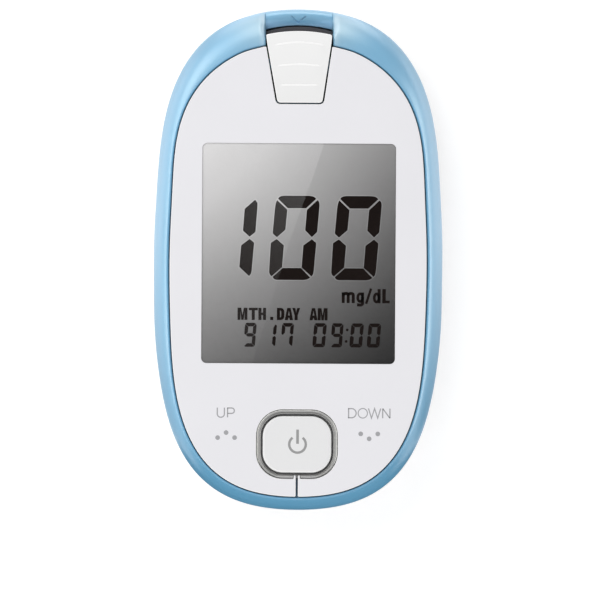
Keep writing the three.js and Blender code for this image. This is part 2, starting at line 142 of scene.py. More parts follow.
def dress(ob, body, material, replaces=(), blend=None):
    if material is not None:
        ob.data.materials.clear()
        ob.data.materials.append(material)
    if blend:
        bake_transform(ob)
    else:
        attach(ob, body)
    for node in replaces:
        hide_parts(node)
    return ob


def volume(verts, faces):
    v = np.asarray(verts, float)
    total = 0.0
    for f in faces:
        for i in range(1, len(f) - 1):
            total += np.dot(v[f[0]], np.cross(v[f[i]], v[f[i + 1]]))
    return total


def ring_grid(rows, closed_across=True):
    """Faces of a grid of points rows[r][c], closed along r, and along c if closed_across."""
    nr, nc = rows.shape[:2]
    r = np.arange(nr)
    c = np.arange(nc if closed_across else nc - 1)
    R, C = np.meshgrid(r, c, indexing="ij")
    R2, C2 = (R + 1) % nr, (C + 1) % nc
    q = np.stack([R * nc + C, R * nc + C2, R2 * nc + C2, R2 * nc + C], -1).reshape(-1, 4)
    return q.tolist()


def inset_vectors(p, closed=True):
    """Mitred unit insets to the left of a closed line."""
    d = np.roll(p, -1, 0) - p
    d /= np.linalg.norm(d, axis=1)[:, None]
    e = np.roll(d, 1, 0)
    n1 = np.stack([-e[:, 1], e[:, 0]], -1)
    n2 = np.stack([-d[:, 1], d[:, 0]], -1)
    m = n1 + n2
    m /= np.linalg.norm(m, axis=1)[:, None]
    k = np.clip((m * n2).sum(1), 0.5, 1)
    return m / k[:, None]


def inside(points, loops):
    """Even-odd test of points against closed lines."""
    hit = np.zeros(len(points), bool)
    for loop in loops:
        x1, y1 = loop[:, 0], loop[:, 1]
        x2, y2 = np.roll(x1, -1), np.roll(y1, -1)
        for i in range(len(loop)):
            if y1[i] == y2[i]:
                continue
            c = (y1[i] > points[:, 1]) != (y2[i] > points[:, 1])
            c &= points[:, 0] < (x2[i] - x1[i]) * (points[:, 1] - y1[i]) / (y2[i] - y1[i]) + x1[i]
            hit ^= c
    return hit


def cap(loops, extra=None):
    """Triangles that fill closed lines, by index into the lines' points followed by the extra points."""
    pts = np.concatenate(loops + ([extra] if extra is not None and len(extra) else []))
    edges, start = [], 0
    for loop in loops:
        n = len(loop)
        edges += [(start + i, start + (i + 1) % n) for i in range(n)]
        start += n
    v, _, f, orig, _, _ = delaunay_2d_cdt([Vector(p) for p in pts], edges, [], 0, 1e-7)
    back = [o[0] if o else None for o in orig]
    keep = []
    vv = np.array([list(x) for x in v])
    tri = np.array([list(t) for t in f])
    mid = vv[tri].mean(1)
    ok = inside(mid, loops)
    for t in tri[ok]:
        ids = [back[i] for i in t]
        if None not in ids and len(set(ids)) == 3:
            a, b, c = pts[ids[0]], pts[ids[1]], pts[ids[2]]
            area = (b[0] - a[0]) * (c[1] - a[1]) - (b[1] - a[1]) * (c[0] - a[0])
            if area > 0:
                keep.append(ids)
            elif area < 0:
                keep.append(ids[::-1])
    return keep


def slab(name, loops, z0, z1, r, body, material, slot, segs=6, insets=None, top=None, grid=None, bottom_r=0.0,
         replaces=(), blend=None, only_mesh=False):
    """A flat piece with a rounded upper edge. loops have the material on their left. top(x, y) adds to the height."""
    loops = [np.asarray(p, float) for p in loops]
    insets = [inset_vectors(p) if insets is None or insets[i] is None else insets[i] for i, p in enumerate(loops)]
    th = np.linspace(0, PI / 2, segs + 1)
    rows = [(0.0, z0, -1.0)] if not bottom_r else [(bottom_r, z0, -2.0), (0.0, z0 + bottom_r, 0.0)]
    rows += [(r * (1 - math.cos(t)), z1 - r + r * math.sin(t), t) for t in th]
    verts, nrm, faces, fn = [], [], [], []
    start_of = []
    for i, (off, z, t) in enumerate(rows):
        ids = []
        for p, q in zip(loops, insets):
            xy = p + q * off
            zz = np.full(len(p), z)
            if top is not None and t > 0:
                zz = zz + top(xy[:, 0], xy[:, 1]) * math.sin(t)
            out = q / np.maximum(np.linalg.norm(q, axis=1), 1e-9)[:, None]
            tt = max(t, 0.0)
            n = np.concatenate([-out * math.cos(tt), np.full((len(p), 1), math.sin(tt))], 1)
            ids.append((len(verts), len(p)))
            verts += np.concatenate([xy, zz[:, None]], 1).tolist()
            nrm += n.tolist()
        start_of.append(ids)
    nrm = np.array(nrm)
    corner = []
    for i in range(len(rows) - 1):
        for (a, n), (b, _) in zip(start_of[i], start_of[i + 1]):
            for k in range(n):
                k2 = (k + 1) % n
                faces.append([a + k, a + k2, b + k2, b + k])
                lo = nrm[[a + k, a + k2]]
                hi = nrm[[b + k2, b + k]]
                if bottom_r and i == 0:
                    lo = hi[::-1]
                # a zero-length inset means a straight joint face: use the true face normal there
                q = np.array([verts[a + k], verts[a + k2], verts[b + k2]])
                flat = np.cross(q[1] - q[0], q[2] - q[0])
                ln = np.linalg.norm(flat)
                flat = flat / ln if ln > 1e-12 else np.array([0, 0, 1.0])
                for v in (lo[0], lo[1], hi[0], hi[1]):
                    corner.append(v if np.linalg.norm(v) > 0.9 and np.dot(v, flat) > 0.2 else flat)
    base_of = [[loop + q * off for loop, q in zip(loops, insets)] for off, _, _ in (rows[0], rows[-1])]
    # upper cap
    last = start_of[-1]
    extra = None
    if grid is not None:
        g = np.asarray(grid, float)
        ok = inside(g, base_of[1])
        dmin = np.full(len(g), 1e9)
        for loop in base_of[1]:
            for k in range(0, len(g), 400):
                d = np.linalg.norm(g[k:k + 400, None, :] - loop[None, :, :], axis=2).min(1)
                dmin[k:k + 400] = np.minimum(dmin[k:k + 400], d)
        extra = g[ok & (dmin > 0.08)]
    tris = cap(base_of[1], extra)
    offset = sum(n for _, n in last)
    extra_start = len(verts)
    if extra is not None:
        zz = rows[-1][1] + (top(extra[:, 0], extra[:, 1]) if top is not None else 0.0)
        zz = np.broadcast_to(zz, (len(extra),))
        verts += np.concatenate([extra, zz[:, None]], 1).tolist()
    idmap = np.concatenate([np.arange(a, a + n) for a, n in last] + [np.arange(extra_start, len(verts))]).astype(int)
    e = 0.02
    for t in tris:
        ids = [int(idmap[k]) for k in t]
        faces.append(ids)
        for k in ids:
            if top is None:
                corner.append(np.array([0, 0, 1.0]))
            else:
                x, y = verts[k][0], verts[k][1]
                gx = (top(np.array([x + e]), np.array([y]))[0] - top(np.array([x - e]), np.array([y]))[0]) / (2 * e)
                gy = (top(np.array([x]), np.array([y + e]))[0] - top(np.array([x]), np.array([y - e]))[0]) / (2 * e)
                n = np.array([-gx, -gy, 1.0])
                corner.append(n / np.linalg.norm(n))
    # lower cap
    first = start_of[0]
    idmap = np.concatenate([np.arange(a, a + n) for a, n in first]).astype(int)
    for t in cap(base_of[0]):
        faces.append([int(idmap[k]) for k in t][::-1])
        corner += [np.array([0, 0, -1.0])] * 3
    if only_mesh:
        return verts, faces, corner
    return finish_mesh(name, verts, faces, body, material, slot, normals=[tuple(c) for c in corner], replaces=replaces, blend=blend)


def join_meshes(parts):
    verts, faces, corner = [], [], []
    for v, f, c in parts:
        n = len(verts)
        verts += list(v)
        faces += [[i + n for i in q] for q in f]
        corner += list(c)
    return verts, faces, corner


def arc(cx, cy, rx, ry, a0, a1, n):
    a = np.linspace(math.radians(a0), math.radians(a1), n)
    return np.stack([cx + rx * np.cos(a), cy + ry * np.sin(a)], -1)


def rounded(cx, cy, w, h, r, n=10, step=1.5):
    """Anticlockwise rounded rectangle with points along its sides too."""
    parts = [arc(cx + w / 2 - r, cy - h / 2 + r, r, r, -90, 0, n), arc(cx + w / 2 - r, cy + h / 2 - r, r, r, 0, 90, n),
             arc(cx - w / 2 + r, cy + h / 2 - r, r, r, 90, 180, n), arc(cx - w / 2 + r, cy - h / 2 + r, r, r, 180, 270, n)]
    p = np.concatenate(parts)
    return resample(p, step)


def resample(p, step):
    out = []
    for i in range(len(p)):
        a, b = p[i], p[(i + 1) % len(p)]
        n = max(1, int(np.linalg.norm(b - a) / step + 0.5))
        out += [a + (b - a) * k / n for k in range(n)]
    return np.array(out)


def round_join(a, b, r, n=7):
    """Joins open line a to open line b (a ends where b starts) with an arc of radius r."""
    p = a[-1]
    d1 = p - a[-2]
    d1 = d1 / np.linalg.norm(d1)
    d2 = b[1] - p
    d2 = d2 / np.linalg.norm(d2)
    turn = math.acos(max(-1, min(1, float(np.dot(d1, d2)))))
    cut = r * math.tan(turn / 2)
    a = a[np.linalg.norm(a - p, axis=1) > cut * 1.02]
    b = b[np.linalg.norm(b - p, axis=1) > cut * 1.02]
    s, e = p - d1 * cut, p + d2 * cut
    t = np.linspace(0, 1, n)[:, None]
    side = 1 if d1[0] * d2[1] - d1[1] * d2[0] > 0 else -1
    c = s + side * r * np.array([-d1[1], d1[0]])
    a0 = math.atan2(*(s - c)[::-1])
    ang = a0 + side * turn * t[:, 0]
    mid = np.stack([c[0] + r * np.cos(ang), c[1] + r * np.sin(ang)], -1)
    return np.concatenate([a, mid, b])


# ---------------------------------------------------------------- materials
def nodes_of(name):
    m = bpy.data.materials.new(name)
    m.use_nodes = True
    nt = m.node_tree
    nt.nodes.clear()
    return m, nt


def link(nt, a, b):
    nt.links.new(a, b)


def noise(nt, coord, scale, detail=2.0, rough=0.5, dims="3D"):
    n = nt.nodes.new("ShaderNodeTexNoise")
    n.inputs["Scale"].default_value = scale
    n.inputs["Detail"].default_value = detail
    n.inputs["Roughness"].default_value = rough
    link(nt, coord, n.inputs["Vector"])
    return n.outputs["Fac"]


def remap(nt, value, lo, hi, a=0.3, b=0.7):
    n = nt.nodes.new("ShaderNodeMapRange")
    n.inputs["From Min"].default_value, n.inputs["From Max"].default_value = a, b
    n.inputs["To Min"].default_value, n.inputs["To Max"].default_value = lo, hi
    link(nt, value, n.inputs["Value"])
    return n.outputs["Result"]


def math_node(nt, op, a, b=None, clamp=False):
    n = nt.nodes.new("ShaderNodeMath")
    n.operation = op
    n.use_clamp = clamp
    for i, x in enumerate((a, b)):
        if x is None:
            continue
        if isinstance(x, (int, float)):
            n.inputs[i].default_value = x
        else:
            link(nt, x, n.inputs[i])
    return n.outputs[0]


def mix_color(nt, fac, a, b):
    n = nt.nodes.new("ShaderNodeMix")
    n.data_type = "RGBA"
    if isinstance(fac, (int, float)):
        n.inputs["Factor"].default_value = fac
    else:
        link(nt, fac, n.inputs["Factor"])
    for key, x in (("A", a), ("B", b)):
        sock = [s for s in n.inputs if s.name == key and s.type == "RGBA"][0]
        if isinstance(x, tuple):
            sock.default_value = (*x, 1) if len(x) == 3 else x
        else:
            link(nt, x, sock)
    return [s for s in n.outputs if s.type == "RGBA"][0]


def bump(nt, height, strength, distance):
    n = nt.nodes.new("ShaderNodeBump")
    n.inputs["Strength"].default_value = strength
    n.inputs["Distance"].default_value = distance
    link(nt, height, n.inputs["Height"])
    return n.outputs["Normal"]


def surface(name, color, rough, metallic=0.0, vary=0.03, rough_vary=0.04, grain=2600, grain_depth=0.000012, grain_strength=0.25,
            cloud=55, spec=0.5, ior=1.5, coat=0.0, coat_rough=0.1, sss=0.0, sss_radius=(0.001, 0.001, 0.001), dark=None, brushed=None, anis=0.0, painted_rim_highlight=None, rim_highlight_gain=4.0, along=None, beside=None):
    """A moulded or plated surface: cloudy tone, uneven gloss and a fine grain. Optional painted light in the base
    colour: a tone that changes along Y, pale highlights beside the recess, and highlights on tilted edges.
    """
    m, nt = nodes_of(name)
    tc = nt.nodes.new("ShaderNodeTexCoord")
    co = tc.outputs["Object"]
    if brushed:
        mp = nt.nodes.new("ShaderNodeMapping")
        mp.inputs["Scale"].default_value = brushed
        link(nt, co, mp.inputs["Vector"])
        fine = noise(nt, mp.outputs["Vector"], grain, 3.0)
    else:
        fine = noise(nt, co, grain, 2.0)
    clouds = noise(nt, co, cloud, 3.0, 0.6)
    p = nt.nodes.new("ShaderNodeBsdfPrincipled")
    low = tuple(c * (1 - vary) for c in color) if dark is None else dark
    high = tuple(min(1.0, c * (1 + vary)) for c in color)
    tone = mix_color(nt, remap(nt, clouds, 0, 1), low, high)
    if along:
        # painted light and shade: the tone changes along Y, from the base colour at the first place to the given colour
        # at the second, so one end looks more lit than the other
        place = nt.nodes.new("ShaderNodeSeparateXYZ")
        link(nt, co, place.inputs[0])
        tone = mix_color(nt, remap(nt, place.outputs[1], 0.0, 1.0, along[0] * MM, along[1] * MM), tone, along[2])
    if beside:
        # painted highlight: paler beside the recess, and palest on the rounded edges along it
        spot = nt.nodes.new("ShaderNodeSeparateXYZ")
        link(nt, co, spot.inputs[0])
        far = math_node(nt, "ABSOLUTE", spot.outputs[0])
        up = math_node(nt, "MULTIPLY", remap(nt, spot.outputs[1], 0.0, 1.0, 39.5 * MM, 44.0 * MM), remap(nt, spot.outputs[2], 0.0, 1.0, 12.5 * MM, 14.5 * MM))
        tone = mix_color(nt, math_node(nt, "MULTIPLY", up, remap(nt, far, 1.0, 0.0, 8.0 * MM, 15.0 * MM)), tone, beside[0])
        line = math_node(nt, "MULTIPLY", remap(nt, far, 0.0, 1.0, 6.65 * MM, 6.95 * MM), remap(nt, far, 1.0, 0.0, 7.15 * MM, 8.0 * MM))
        tone = mix_color(nt, math_node(nt, "MULTIPLY", up, line), tone, beside[1])
    if painted_rim_highlight:
        # painted highlight: faces that tilt away from straight up get a lighter base colour, standing in for the light
        # that moulded edges catch
        geo = nt.nodes.new("ShaderNodeNewGeometry")
        sep = nt.nodes.new("ShaderNodeSeparateXYZ")
        link(nt, geo.outputs["Normal"], sep.inputs[0])
        edge = math_node(nt, "MULTIPLY", math_node(nt, "SUBTRACT", 0.992, sep.outputs[2]), rim_highlight_gain, clamp=True)
        edge = math_node(nt, "MULTIPLY", edge, math_node(nt, "MULTIPLY", sep.outputs[2], 4.0, clamp=True))
        tone = mix_color(nt, edge, tone, painted_rim_highlight)
    link(nt, tone, p.inputs["Base Color"])
    r = math_node(nt, "ADD", remap(nt, clouds, rough - rough_vary, rough + rough_vary), remap(nt, fine, -rough_vary / 2, rough_vary / 2))
    link(nt, r, p.inputs["Roughness"])
    p.inputs["Metallic"].default_value = metallic
    p.inputs["Specular IOR Level"].default_value = spec
    p.inputs["IOR"].default_value = ior
    p.inputs["Coat Weight"].default_value = coat
    p.inputs["Coat Roughness"].default_value = coat_rough
    p.inputs["Anisotropic"].default_value = anis
    if sss:
        p.inputs["Subsurface Weight"].default_value = sss
        p.inputs["Subsurface Radius"].default_value = sss_radius
        p.inputs["Subsurface Scale"].default_value = 1.0
    if grain_strength:
        link(nt, bump(nt, fine, grain_strength, grain_depth), p.inputs["Normal"])
    out = nt.nodes.new("ShaderNodeOutputMaterial")
    link(nt, p.outputs["BSDF"], out.inputs["Surface"])
    return m


# the blue shell carries painted highlights beside the recess and on the rounded edges along it
BLUE = surface("blue_plastic", (0.1, 0.350, 0.562), 0.37, vary=0.012, grain=2200, grain_depth=0.000004, spec=1.0, ior=1.65,
               beside=((0.205, 0.405, 0.54), (0.33, 0.51, 0.635)))
# painted light: the recess floor turns much lighter towards the slot, against the shade that falls there
RECESS_BLUE = surface("recess_plastic", (0.1, 0.352, 0.565), 0.37, vary=0.012, grain=2200, grain_depth=0.000004, spec=1.0, ior=1.65,
                      along=(46.5, 45.3, (0.37, 0.68, 0.98)))
# painted highlights on the rounded edges of the face plate and the keys
WHITE = surface("white_plastic", (0.795, 0.79, 0.82), 0.42, vary=0.01, grain=2400, grain_depth=0.000004, painted_rim_highlight=(0.98, 0.98, 0.985))
# painted highlights on the ejector's ribs and edges, and painted shade: darker towards its lower end
EJECTOR_WHITE = surface("ejector_plastic", (0.862, 0.862, 0.86), 0.42, vary=0.01, grain=2400, grain_depth=0.000004, painted_rim_highlight=(1.0, 1.0, 0.995),
                        rim_highlight_gain=22.0, along=(44.0, 31.0, (0.818, 0.818, 0.816)))
# painted highlights on the power key's rounded edges
KEY_WHITE = surface("key_plastic", (0.775, 0.775, 0.78), 0.36, vary=0.01, grain=2400, grain_depth=0.000003, painted_rim_highlight=(0.99, 0.99, 0.99))
REAR_WHITE = surface("rear_plastic", (0.78, 0.78, 0.795), 0.5, vary=0.02, grain=1500, grain_depth=0.00003, grain_strength=0.35)
# painted reflection: the trim ring's lower outer band is lighter
CHROME = surface("dull_chrome", (0.43, 0.43, 0.425), 0.32, metallic=1.0, vary=0.04, grain=3000, grain_depth=0.000002,
                 along=(-41.8, -42.35, (0.69, 0.69, 0.7)))
BLACK = surface("black_plastic", (0.028, 0.027, 0.030), 0.5, vary=0.2, grain=3000)
GUIDE = surface("port_plastic", (0.064, 0.062, 0.072), 0.5, vary=0.1, grain=3000)
RUBBER = surface("rubber", (0.05, 0.05, 0.052), 0.75, vary=0.15, grain=3500)
STEEL = surface("nickel_steel", (0.62, 0.62, 0.61), 0.3, metallic=1.0, vary=0.06, grain=2500, grain_depth=0.000003, brushed=(1, 12, 1))
CELL = surface("cell_steel", (0.66, 0.66, 0.66), 0.24, metallic=1.0, vary=0.05, grain=1800, grain_depth=0.000003, brushed=(1, 8, 1))
GOLD = surface("gold_contact", (0.80, 0.58, 0.22), 0.24, metallic=1.0, vary=0.06, grain=2500, grain_depth=0.000003)
INK = surface("grey_ink", (0.36, 0.36, 0.375), 0.6, vary=0.03, grain=4000, grain_depth=0.000002)
ICON_INK = surface("key_ink", (0.315, 0.315, 0.315), 0.6, vary=0.03, grain=4000, grain_depth=0.000002)
SEGMENT = surface("lcd_segment", (0.0125, 0.0085, 0.0075), 0.6, vary=0.1, grain=4000, grain_depth=0.000001, spec=0.0)
MASK = surface("window_mask", (0.02, 0.02, 0.022), 0.5, vary=0.1)


def board_material():
    m, nt = nodes_of("circuit_board")
    tc = nt.nodes.new("ShaderNodeTexCoord")
    co = tc.outputs["Object"]
    w = nt.nodes.new("ShaderNodeTexWave")
    w.inputs["Scale"].default_value = 420
    w.inputs["Distortion"].default_value = 9
    w.inputs["Detail"].default_value = 1
    w.inputs["Detail Scale"].default_value = 0.3
    link(nt, co, w.inputs["Vector"])
    trace = remap(nt, w.outputs["Fac"], 0, 1, 0.8, 0.84)
    base = mix_color(nt, remap(nt, noise(nt, co, 300, 2), 0, 1), (0.012, 0.11, 0.045), (0.02, 0.15, 0.06))
    p = nt.nodes.new("ShaderNodeBsdfPrincipled")
    link(nt, mix_color(nt, trace, base, (0.04, 0.24, 0.10)), p.inputs["Base Color"])
    link(nt, remap(nt, noise(nt, co, 800, 2), 0.28, 0.4), p.inputs["Roughness"])
    link(nt, bump(nt, trace, 0.3, 0.00003), p.inputs["Normal"])
    out = nt.nodes.new("ShaderNodeOutputMaterial")
    link(nt, p.outputs["BSDF"], out.inputs["Surface"])
    return m


def lcd_material(name, lift):
    """Grey reflective panel with painted light and shade in its colour: lighter towards its upper left corner and a
    little lighter in the middle.
    """
    m, nt = nodes_of(name)
    tc = nt.nodes.new("ShaderNodeTexCoord")
    sep = nt.nodes.new("ShaderNodeSeparateXYZ")
    link(nt, tc.outputs["Object"], sep.inputs[0])
    x = math_node(nt, "DIVIDE", sep.outputs[0], 0.0187)
    y = math_node(nt, "DIVIDE", math_node(nt, "SUBTRACT", sep.outputs[1], 0.00115), 0.02125)
    # painted light and shade: a slanted ramp, lighter towards the upper left
    v = math_node(nt, "ADD", math_node(nt, "MULTIPLY", x, -38.5), math_node(nt, "MULTIPLY", y, 51.5))
    v = math_node(nt, "ADD", v, math_node(nt, "MULTIPLY", math_node(nt, "MULTIPLY", x, y), -4.2))
    v = math_node(nt, "ADD", v, 133.0 + lift)
    # painted light: a little lighter in the middle of the panel
    painted_middle_light = math_node(nt, "MULTIPLY", math_node(nt, "SUBTRACT", 1.0, math_node(nt, "MULTIPLY", x, x)), math_node(nt, "SUBTRACT", 1.0, math_node(nt, "MULTIPLY", y, y)))
    v = math_node(nt, "ADD", v, math_node(nt, "MULTIPLY", painted_middle_light, 8.0))
    over = math_node(nt, "MAXIMUM", math_node(nt, "SUBTRACT", v, 198.0), 0.0)
    v = math_node(nt, "SUBTRACT", v, math_node(nt, "MULTIPLY", over, 0.45))
    fine = noise(nt, tc.outputs["Object"], 1500, 2)
    v = math_node(nt, "ADD", v, remap(nt, fine, -1.2, 1.2))
    v = math_node(nt, "POWER", math_node(nt, "DIVIDE", v, 255.0, clamp=True), 2.2)
    v = math_node(nt, "MINIMUM", math_node(nt, "MULTIPLY", v, 1.16), 0.93)
    comb = nt.nodes.new("ShaderNodeCombineColor")
    link(nt, v, comb.inputs[0])
    link(nt, math_node(nt, "MULTIPLY", v, 0.985), comb.inputs[1])
    link(nt, math_node(nt, "MULTIPLY", v, 0.982), comb.inputs[2])
    p = nt.nodes.new("ShaderNodeBsdfPrincipled")
    link(nt, comb.outputs[0], p.inputs["Base Color"])
    link(nt, remap(nt, fine, 0.5, 0.6), p.inputs["Roughness"])
    p.inputs["Specular IOR Level"].default_value = 0.1
    out = nt.nodes.new("ShaderNodeOutputMaterial")
    link(nt, p.outputs["BSDF"], out.inputs["Surface"])
    return m


def window_material():
    """Clear pane: what is behind it shows, with a polished reflection."""
    m, nt = nodes_of("clear_pane")
    tc = nt.nodes.new("ShaderNodeTexCoord")
    haze = noise(nt, tc.outputs["Object"], 220, 3)
    lw = nt.nodes.new("ShaderNodeLayerWeight")
    lw.inputs["Blend"].default_value = 0.5
    glance = math_node(nt, "POWER", lw.outputs["Facing"], 5.0)
    share = math_node(nt, "ADD", math_node(nt, "MULTIPLY", glance, 0.9), 0.04)
    clear = nt.nodes.new("ShaderNodeBsdfTransparent")
    clear.inputs["Color"].default_value = (0.995, 0.996, 0.997, 1)
    gloss = nt.nodes.new("ShaderNodeBsdfGlossy")
    gloss.inputs["Color"].default_value = (1, 1, 1, 1)
    link(nt, remap(nt, haze, 0.0, 0.012), gloss.inputs["Roughness"])
    mix = nt.nodes.new("ShaderNodeMixShader")
    link(nt, share, mix.inputs[0])
    link(nt, clear.outputs[0], mix.inputs[1])
    link(nt, gloss.outputs[0], mix.inputs[2])
    out = nt.nodes.new("ShaderNodeOutputMaterial")
    link(nt, mix.outputs[0], out.inputs["Surface"])
    return m


BOARD = board_material()
LCD = lcd_material("lcd_panel", 0.0)
LCD_PALE = lcd_material("lcd_pale", 22.0)
PANE = window_material()

# ---------------------------------------------------------------- front shell (blue)
def wall_x(y):
    return 6.53 - 0.2 * smooth((y - 44.9) / 0.9)


def edge_r(y):
    return 0.45 + 1.15 * smooth((y - 42.0) / 4.2)


def width_at(a):
    return np.linalg.norm(outline(OUTER, a) - outline(INNER, a, GAP), axis=-1)


BT, BZ = [0, 0.3, 0.95, 1.0], [17.6, 17.45, 15.6, 11.2]
RF = 0.33


def crown_start(a):
    """Where the fillet of the inner lip meets the crown: parameter, tilt and the fillet's centre height."""
    w = width_at(a)
    u = np.full(np.shape(a), 0.1)
    phi = np.full(np.shape(a), 0.1)
    for _ in range(12):
        xt = RF * (1 + np.sin(phi)) / w
        for _ in range(4):
            e = 1e-4
            f = bezier(BT, u) - xt
            u = u - f / ((bezier(BT, u + e) - bezier(BT, u - e)) / (2 * e))
        e = 1e-4
        dz = bezier(BZ, u + e) - bezier(BZ, u - e)
        dx = (bezier(BT, u + e) - bezier(BT, u - e)) * w
        phi = np.arctan2(-dz, dx)
    return u, phi, bezier(BZ, u) - RF * np.cos(phi), w


def mix_row(a, t, z):
    p, q = outline(INNER, a, GAP), outline(OUTER, a)
    xy = p + (q - p) * np.asarray(t)[..., None]
    return np.concatenate([xy, np.broadcast_to(np.asarray(z, float), np.shape(a))[..., None]], -1)


def off_row(series, off, z):
    return lambda a: np.concatenate([outline(series, a, off), np.broadcast_to(float(z), np.shape(a))[..., None]], -1)


def wall_row(k):
    def f(a):
        _, _, cz, _ = crown_start(a)
        z = 15.3 + (cz - 15.3) * k
        return np.concatenate([outline(INNER, a, GAP), z[..., None]], -1)
    return f


def lip_row(k):
    def f(a):
        u, phi, cz, w = crown_start(a)
        psi = PI + (PI / 2 - phi - PI) * k
        return mix_row(a, RF * (1 + np.cos(psi)) / w, cz + RF * np.sin(psi))
    return f


def crown_row(k):
    def f(a):
        u0, _, _, _ = crown_start(a)
        u = u0 + (1 - u0) * k
        return mix_row(a, bezier(BT, u), bezier(BZ, u))
    return f


ROWS = [off_row(INNER, -2.5, 15.3), off_row(INNER, -0.8, 15.3)]
ROWS += [wall_row(k) for k in (0, 0.35, 0.7, 0.9)]
ROWS += [lip_row(k) for k in np.linspace(0, 1, 9)]
ROWS += [crown_row(k) for k in [0.03, 0.07] + list(np.linspace(0.12, 1, 25))]
ROWS += [off_row(OUTER, o, z) for o, z in ((-0.045, 10.5), (-0.09, 9.7), (-0.11, 9.36), (-0.14, 9.22), (-0.2, 9.13), (-0.3, 9.1), (-1.8, 9.1), (-1.8, 12.4), (-3.0, 14.2))]
ROWS += [off_row(INNER, -2.5, 14.2)]


def angles_at(row, deltas):
    """Angles at which a row lies deltas beyond the recess wall, right side."""
    a = np.linspace(0.10, 0.32, 900)
    p = row(a)
    return np.interp(deltas, p[:, 0] - wall_x(p[:, 1]), a)


def front_shell():
    near = [0.0, 0.02, 0.07, 0.14, 0.22, 0.32, 0.43, 0.55, 0.68, 0.82, 0.97, 1.15, 1.35, 1.6]
    far = 190
    right = []
    for row in ROWS:
        an = list(angles_at(row, near))
        s = (np.arange(1, far + 1) / far)
        grow = 0.35 * s + 0.65 * s ** 1.0
        ang = np.array(an + list(an[-1] + (PI - an[-1]) * grow))
        p = row(ang)
        d = np.concatenate([np.array(near), np.full(far, 9.0)])
        er = edge_r(p[:, 1])
        dd = np.clip(er - d, 0, er)
        drop = er - np.sqrt(np.maximum(er**2 - dd**2, 0))
        z = p[:, 2]
        outer_side = np.linalg.norm(p[:, :2] - outline(INNER, ang, GAP), axis=1) > 0.3
        f = np.where(outer_side, smooth((z - 12.0) / 3.0), smooth((z - 15.4) / 1.4))
        p[:, 2] = z - drop * f
        right.append(p)
    right = np.array(right)  # rows, columns, 3
    left = right[:, :-1][:, ::-1].copy()
    left[:, :, 0] *= -1
    left[:, :, 0] -= 0.2 * smooth((9.5 - np.abs(left[:, :, 0])) / 2.5) * smooth((left[:, :, 1] - 42.4) / 0.8)
    grid = np.concatenate([right, left], 1)
    faces = ring_grid(grid, closed_across=False)
    nr, nc = grid.shape[:2]
    faces.append([r * nc for r in range(nr)][::-1])
    faces.append([r * nc + nc - 1 for r in range(nr)])
    verts = grid.reshape(-1, 3)
    if volume(verts, faces) < 0:
        faces = [f[::-1] for f in faces]
    return verts, faces


def outline_y(x, off):
    """Height along Y of the casing's outline at x, near the top."""
    a = np.arctan2(x, 45.0)
    for _ in range(12):
        p = outline(OUTER, a, off)[..., 0]
        e = 1e-4
        d = (outline(OUTER, a + e, off)[..., 0] - outline(OUTER, a - e, off)[..., 0]) / (2 * e)
        a = a - (p - x) / d
    return outline(OUTER, a, off)[..., 1]


def slot_y(x):
    return 45.3 - 0.85 * (x / 6.4) ** 2


def floor_z(s):
    s = np.asarray(s, float)
    rise = 12.83 + 0.47 * smooth(s / 0.5) - 0.3 * np.clip(1 - s / 0.3, 0, 1) ** 2
    t = np.clip((s - 0.5) / 0.5, 0, 1)
    fall = 11.55 + (13.3 - 11.55) * np.sqrt(np.maximum(0, 1 - t**2.4))
    return np.where(s < 0.5, rise, fall)


def recess_floor():
    s_rows = [("s", 0.0, 10.7), ("s", 0.0, 11.8), ("s", 0.0, 12.35), ("s", 0.004, 12.46), ("s", 0.014, 12.53), ("s", 0.03, float(floor_z(0.03))), ("s", 0.055, float(floor_z(0.055))), ("s", 0.085, float(floor_z(0.085))), ("s", 0.115, float(floor_z(0.115)))]
    s_rows += [("s", s, float(floor_z(s))) for s in (0.15, 0.2, 0.3, 0.4, 0.5, 0.58, 0.66, 0.73, 0.79, 0.84, 0.88, 0.915, 0.94, 0.96, 0.975, 0.987, 0.996)]
    s_rows += [("o", o, z) for o, z in ((0.0, 11.4), (0.0, 11.2), (-0.045, 10.5), (-0.09, 9.7), (-0.11, 9.36), (-0.14, 9.22), (-0.2, 9.13), (-0.3, 9.1), (-1.8, 9.1), (-1.8, 10.7))]
    c = np.linspace(-1, 1, 41)
    rows = []
    for kind, v, z in s_rows:
        y = np.full(len(c), 46.0)
        for _ in range(8):
            x = c * wall_x(y)
            if kind == "s":
                y0, y1 = slot_y(x), outline_y(x, 0.0)
                y = y0 + (y1 - y0) * v
            else:
                y = outline_y(x, v)
        x = np.where(c < 0, x + 0.2 * c, x)
        rows.append(np.stack([x, y, np.full(len(c), z)], -1))
    grid = np.array(rows)
    faces = ring_grid(grid, closed_across=False)
    nr, nc = grid.shape[:2]
    faces.append([r * nc for r in range(nr)][::-1])
    faces.append([r * nc + nc - 1 for r in range(nr)])
    verts = grid.reshape(-1, 3)
    if volume(verts, faces) < 0:
        faces = [f[::-1] for f in faces]
    return verts, faces


shell = finish_mesh("front_shell", *front_shell(), "root", BLUE, "blue_casing", sharp=32, replaces=["front_housing"])
recess = finish_mesh("strip_recess", *recess_floor(), "root", RECESS_BLUE, "blue_casing", sharp=32)


def floor_height(x, y):
    y0, y1 = slot_y(x), outline_y(np.array([x]), 0.0)[0]
    return float(floor_z((y - y0) / (y1 - y0)))


